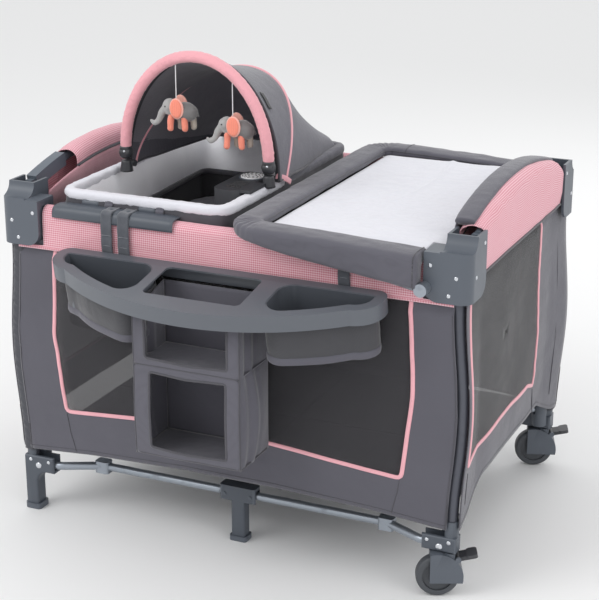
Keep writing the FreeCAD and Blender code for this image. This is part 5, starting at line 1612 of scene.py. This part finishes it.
def bin_skin(side):
    """Soft bag of a bin: rings that follow the CAD bin, sagging a little, with a hoop round its floor."""
    count = 96
    foot_z = TRAY_HIGH.z - BIN_DEEP
    reach = [tray_reach(side, 2 * math.pi * k / count, foot_z + 0.030) for k in range(count)]
    middle = BIN_MIDDLE[side]
    points = []
    rows = 14
    for row in range(rows + 1):
        share = row / rows
        z = DECK_LOW_Z + 0.004 + (foot_z - DECK_LOW_Z - 0.004) * share
        for k in range(count):
            angle = 2 * math.pi * k / count
            bulge = 0.0036 + 0.0026 * math.sin(math.pi * share)
            soft = ripple((math.cos(angle) * 0.1, math.sin(angle) * 0.1, share * 0.15), 16.0, 0.0018)
            out = reach[k] + bulge + abs(soft)
            points.append(tilted(middle + Vector((out * math.cos(angle), out * math.sin(angle), z))))
    faces = ring_faces(rows, count)
    last = rows * count
    for pull in (0.5, 0.9):
        start = len(points)
        for k in range(count):
            angle = 2 * math.pi * k / count
            out = (reach[k] + 0.0036) * (1 - pull)
            points.append(tilted(middle + Vector((out * math.cos(angle), out * math.sin(angle),
                                                  foot_z - 0.003 * pull))))
        for k in range(count):
            turn = (k + 1) % count
            faces.append((last + k, last + turn, start + turn, start + k))
        last = start
    faces.append(tuple(range(last, last + count)))
    skin = thicken(mesh("bin_bag", points, faces, "bag"), 0.0012, offset=1)
    ring = []
    for k in range(count):
        angle = 2 * math.pi * k / count
        out = reach[k] + 0.0058
        ring.append(tilted(middle + Vector((out * math.cos(angle), out * math.sin(angle), foot_z + 0.007))))
    hoop = sweep("bin_hoop", "cloth_solid", ring, box_profile(0.0034, 0.0078, 0.6), closed=True)
    return [skin, hoop]


def add_bins():
    """The two bags under the tray, with their bottom hoops."""
    pieces = []
    for side in (-1, 1):
        pieces += bin_skin(side)
    obj = joined("organizer_bags", pieces)
    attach(obj, "carrier")


STRAP_PLACES = ((-0.2645, 0.0125), (-0.225, 0.013), (0.2625, 0.0125))


def add_straps():
    """Organizer's straps over the front rail, with their sewn ends."""
    pieces = []
    high = Vector(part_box("organizer_fabric")[1])
    for n, (x, half) in enumerate(STRAP_PLACES):
        over = high.z if n < 2 else LONG_CAP_Z + 0.0036
        out_y = -(POST_Y + CLOTH_OFF + (0.0088 if n < 2 else 0.0052))
        in_y = -(POST_Y - 0.0195 - (0.0050 if n < 2 else 0.0))
        line = [(x, out_y + 0.002, TRAY_HIGH.z - 0.008), (x, out_y - 0.0008, TRAY_HIGH.z + 0.008),
                (x, out_y - 0.0004, over - 0.012), (x, out_y + 0.005, over - 0.0012),
                (x, (out_y + in_y) / 2, over + 0.0006), (x, in_y - 0.006, over - 0.0012),
                (x, in_y, over - 0.012), (x, in_y, over - 0.030)]
        path = spread(curve_through(line, 60), 0.003)
        pieces.append(flat_strap("organizer_strap", "strap", path, half, Vector((1, 0, 0)), 0.0024))
        for z in (TRAY_HIGH.z + 0.012, TRAY_HIGH.z + 0.034):
            stitch = [Vector((x - half * 0.86, out_y - 0.0022, z)),
                      Vector((x + half * 0.86, out_y - 0.0022, z))]
            pieces.append(seam("strap_stitch", "stitch", stitch, 0.0006))
    obj = joined("organizer_straps", pieces)
    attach(obj, "carrier")
    return obj


STACKER_LEFT, STACKER_RIGHT = -0.125, 0.108
STACKER_MIDDLE = (STACKER_LEFT + STACKER_RIGHT) / 2
STACKER_FRONT, STACKER_BACK = -0.512, -0.386
STACKER_FOOT_Z = ends("organizer_fabric")[0].z
STACKER_SPLIT_Z = 0.4600
STACKER_TOP_Z = 0.5765


def stacker_top(y):
    """Height of the sides' slanting top edge at a place along Y."""
    return TRAY_HIGH.z - 0.035 + (y + 0.376) * math.tan(TRAY_TILT)


def stacker_front(x, z):
    """A place on the front, which puffs out on each of its two levels."""
    wide = math.cos(math.pi * ((x - STACKER_MIDDLE) / (STACKER_RIGHT - STACKER_LEFT)))
    below = z < STACKER_SPLIT_Z
    share = ((z - STACKER_FOOT_Z) / (STACKER_SPLIT_Z - STACKER_FOOT_Z) if below
             else (z - STACKER_SPLIT_Z) / (STACKER_TOP_Z - STACKER_SPLIT_Z))
    puff = (0.010 if below else 0.005) * math.sin(math.pi * min(1.0, max(0.0, share))) ** 0.7
    bulge = puff * (0.35 + 0.65 * max(0.0, wide)) + ripple((x, z, 3), 13.0, 0.0024)
    return Vector((x, STACKER_FRONT - 0.0004 - bulge * 0.7, z))


def stacker_side(x, sign):
    """Surface of one side, flared below the split and pleated."""
    def surface(u, v):
        y = STACKER_FRONT + (STACKER_BACK - STACKER_FRONT) * u
        z = STACKER_FOOT_Z + (stacker_top(y) - STACKER_FOOT_Z) * v
        share = (STACKER_SPLIT_Z - z) / (STACKER_SPLIT_Z - STACKER_FOOT_Z)
        flare = 0.012 * math.sin(math.pi * min(1.0, max(0.0, share))) if share > 0 else -0.003
        fold = math.sin(math.pi * u)
        pleat = 0.0034 * math.sin(u * math.pi * 6) * math.sin(math.pi * min(1.0, u * 1.4))
        return Vector((x + sign * (flare * fold + pleat - 0.001), y, z + ripple((y, z, x), 15.0, 0.001)))
    return surface


def stacker_walls():
    """The two sides, the back and the two sagging floors."""
    wide, deep = STACKER_RIGHT - STACKER_LEFT, STACKER_BACK - STACKER_FRONT
    pieces = []
    for sign, x in ((-1, STACKER_LEFT), (1, STACKER_RIGHT)):
        pieces.append(thicken(grid("stacker_side", "cloth_solid", stacker_side(x, sign), 46, 60), 0.0020))
    pieces.append(thicken(grid("stacker_back", "cloth_solid", lambda u, v: Vector(
        (STACKER_LEFT + wide * u, STACKER_BACK + 0.001,
         STACKER_FOOT_Z + (stacker_top(STACKER_BACK) - STACKER_FOOT_Z) * v)), 30, 40), 0.0020))
    for z, dip in ((STACKER_FOOT_Z, 0.004), (STACKER_SPLIT_Z, 0.006)):
        pieces.append(thicken(grid("stacker_floor", "cloth_solid", lambda u, v, z=z, dip=dip: Vector(
            (STACKER_LEFT + wide * u, STACKER_FRONT + deep * v,
             z + 0.003 - dip * math.sin(math.pi * u) * math.sin(math.pi * v))), 26, 18), 0.0026))
    return pieces


def stacker_windows():
    """Front panels of the two levels, each with a bound window."""
    left, middle, right, sag = STACKER_LEFT, STACKER_MIDDLE, STACKER_RIGHT, 0.004
    foot_z, split_z, top_z = STACKER_FOOT_Z, STACKER_SPLIT_Z, STACKER_TOP_Z
    windows = ((foot_z, split_z, foot_z + 0.018, split_z - 0.012, 0.034, 0.029),
               (split_z, top_z, split_z + 0.016, 0.570, 0.025, 0.025))
    pieces = []
    for span_low, span_high, low_z, high_z, gap_left, gap_right in windows:
        window = flat_loop([(left + gap_left, low_z), (middle, low_z - sag), (right - gap_right, low_z),
                            (right - gap_right, high_z), (middle, high_z - sag), (left + gap_left, high_z)],
                           0.007, 0.004)
        outline = flat_loop([(left, span_low), (right, span_low), (right, span_high), (left, span_high)],
                            0.008, 0.004)
        outer = ray_match(window, outline)
        pieces.append(thicken(panel("stacker_front", "cloth_solid", outer, window, stacker_front, 8), 0.0020))
        rim = [stacker_front(point.x, point.y) for point in window]
        pieces.append(sweep_flat("stacker_binding", "cloth_dark", rim, Vector((0, -1, 0)),
                                 round_profile(0.0030, 0.0018)))
    return pieces


def stacker_edges():
    """Bindings down the front corners, round the foot and along the split."""
    left, right, front, back = STACKER_LEFT, STACKER_RIGHT, STACKER_FRONT, STACKER_BACK
    foot_z, split_z, top_z = STACKER_FOOT_Z, STACKER_SPLIT_Z, STACKER_TOP_Z
    pieces = []
    for x in (left, right):
        edge = [stacker_front(x, foot_z + (top_z - foot_z) * n / 40) for n in range(41)]
        pieces.append(sweep("stacker_edge", "cloth_dark", edge, round_profile(0.0018), up=Vector((1, 0, 0))))
    lip = [Vector((x, y, foot_z)) for x, y in ((left, front), (right, front), (right, back), (left, back))]
    loop = spread(rounded(lip, 0.010, closed=True), 0.006, closed=True)
    pieces.append(sweep("stacker_foot", "cloth_dark", [point + Vector((0, 0, 0.002)) for point in loop],
                        round_profile(0.0022), closed=True))
    split = [stacker_front(left + (right - left) * n / 30, split_z + 0.001) for n in range(31)]
    pieces.append(sweep("stacker_split", "cloth_dark", split, round_profile(0.0018)))
    return pieces


def add_stacker():
    """Two-level nappy stacker: soft walls, bound window frames, pleated sides and a sagging floor."""
    obj = joined("stacker_bag", stacker_walls() + stacker_windows() + stacker_edges())
    straps = add_straps()
    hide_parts("organizer_fabric")
    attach(obj, "carrier")
    return straps


# ---- hard pieces kept from the frame ----
FINISH = {
    "corner_post": "steel", "top_corner": "plastic", "foot": "plastic", "caster_housing": "plastic",
    "caster_fork": "plastic", "caster_wheel": "wheel", "brake_lever": "plastic_dark", "floor_tube": "silver",
    "side_bar": "silver", "central_hub": "plastic_dark", "centre_foot": "plastic", "changer_frame": "silver",
    "music_unit": "plastic_dark", "music_button": "button", "canopy_bow": "plastic_dark",
    "organizer_tray": "tray"}


def finish_nodes():
    """Material and softened edges for each CAD piece that shows."""
    for name, obj in nodes.items():
        key = next((FINISH[start] for start in FINISH if name.startswith(start)), None)
        if key is None:
            key = "steel" if "long" in name or name.startswith(("front_rail", "rear_rail")) else "rail"
        obj.data.materials.clear()
        obj.data.materials.append(MATERIALS[key].material)
        obj.data.polygons.foreach_set("use_smooth", [True] * len(obj.data.polygons))
        width = 0.0035 if name.startswith(("top_corner", "organizer_tray", "music_unit")) else 0.0015
        modify(obj, "BEVEL", width=width, segments=3, limit_method="ANGLE", angle_limit=math.radians(40),
               use_clamp_overlap=True)
        modify(obj, "WEIGHTED_NORMAL", keep_sharp=False)


def add_rivets():
    """Rivet heads on the corner castings and the blocks at the feet."""
    for corner, (sign_x, sign_y) in CORNERS.items():
        face_y = POST_Y + 0.031
        face_x = POST_X + 0.031
        spots = [(POST_X - 0.050, face_y, 0.696), (POST_X + 0.002, face_y, 0.676),
                 (POST_X - 0.012, face_y, 0.640)]
        spots += [(face_x, POST_Y - 0.050, 0.728), (face_x, POST_Y - 0.004, 0.672)]
        heads = []
        for x, y, z in spots:
            along = Vector((0, sign_y, 0)) if y == face_y else Vector((sign_x, 0, 0))
            heads.append(rivet(Vector((sign_x * x, sign_y * y, z)), along))
        obj = joined("rivets_" + corner, heads)
        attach(obj, "post_" + corner)
        low = [rivet(Vector((sign_x * x, sign_y * (POST_Y + 0.017), z)), Vector((0, sign_y, 0)), radius)
               for x, z, radius in ((POST_X - 0.020, 0.108, 0.0075), (POST_X, 0.120, 0.0045),
                                    (POST_X - 0.046, 0.119, 0.0042))]
        obj = joined("foot_rivets_" + corner, low)
        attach(obj, "post_" + corner)


def rivet(place, along, radius=0.0042):
    """Low domed rivet head."""
    turn = along.to_track_quat("Z", "Y").to_matrix().to_4x4()
    frame_at = Matrix.Translation(place) @ turn

    def surface(u, v):
        angle = 2 * math.pi * u
        reach = radius * math.sin(v * math.pi / 2)
        high = 0.45 * radius * math.cos(v * math.pi / 2)
        return frame_at @ Vector((reach * math.cos(angle), reach * math.sin(angle), high - 0.0004))

    return grid("rivet", "rivet", surface, 24, 6, closed=True)


def add_music_face():
    """Ring, grille slots and small keys on the sound unit, and the dashes on its button."""
    low, high = ends("music_button")
    middle = (low + high) / 2
    radius = (high.x - low.x) / 2
    unit_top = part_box("music_unit")[1][2]
    ring = [Vector((middle.x + (radius + 0.0028) * math.cos(2 * math.pi * n / 64),
                    middle.y + (radius + 0.0028) * math.sin(2 * math.pi * n / 64), unit_top + 0.0002))
            for n in range(64)]
    pieces = [sweep("music_ring", "plastic", ring, round_profile(0.0020, 0.0014), closed=True)]
    for n in range(5):
        y = low.y - 0.022 - 0.007 * n
        slot_line = [Vector((middle.x - 0.016 + 0.002 * k, y, unit_top + 0.0003)) for k in range(17)]
        pieces.append(sweep("music_slot", "rubber", slot_line, round_profile(0.0014, 0.0009)))
    for n in (-1, 0, 1):
        key = [Vector((middle.x + 0.011 * n + 0.0035 * math.cos(a), low.y - 0.066 + 0.0035 * math.sin(a),
                       unit_top + 0.0006)) for a in (2 * math.pi * k / 20 for k in range(20))]
        pieces.append(sweep("music_key", "rubber", key, round_profile(0.0024, 0.0016), closed=True))
    obj = joined("music_details", pieces)
    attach(obj, "carrier")
    dashes = []
    top = high.z + 0.0002
    for ring_n, count in ((0.35, 6), (0.62, 10), (0.86, 14)):
        for k in range(count):
            angle = 2 * math.pi * (k + 0.5 * (ring_n > 0.5)) / count
            spot = Vector((middle.x + radius * ring_n * math.cos(angle),
                           middle.y + radius * ring_n * math.sin(angle), top))
            run = Vector((-math.sin(angle), math.cos(angle), 0)) * 0.0022
            dashes.append(sweep("button_dash", "rubber", [spot - run, spot, spot + run],
                                round_profile(0.0009, 0.0005)))
    obj = joined("music_button_dashes", dashes)
    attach(obj, "music_button")


# ---- making ----
add_camera()
for toy_side in ("left", "right"):
    add_toy_cord(toy_side)
add_studio()
finish_nodes()
for wall_side in ("front", "rear"):
    wall = add_long_wall(wall_side)
for wall_end in ("left", "right"):
    wall = add_end_wall(wall_end)
for post in ("fl", "rl", "rr"):
    add_post_sleeve(post)
floor_quarters = [add_floor_cloth(corner) for corner in CORNERS]
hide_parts("floor_sheet")
add_insert()
add_insert_mattress()
add_napper()
add_saddles()
add_canopy()
add_toy_bar()
for toy_side in ("left", "right"):
    add_toy(toy_side)
add_changer()
add_changer_pad()
add_bins()
add_stacker()
add_rivets()
add_music_face()
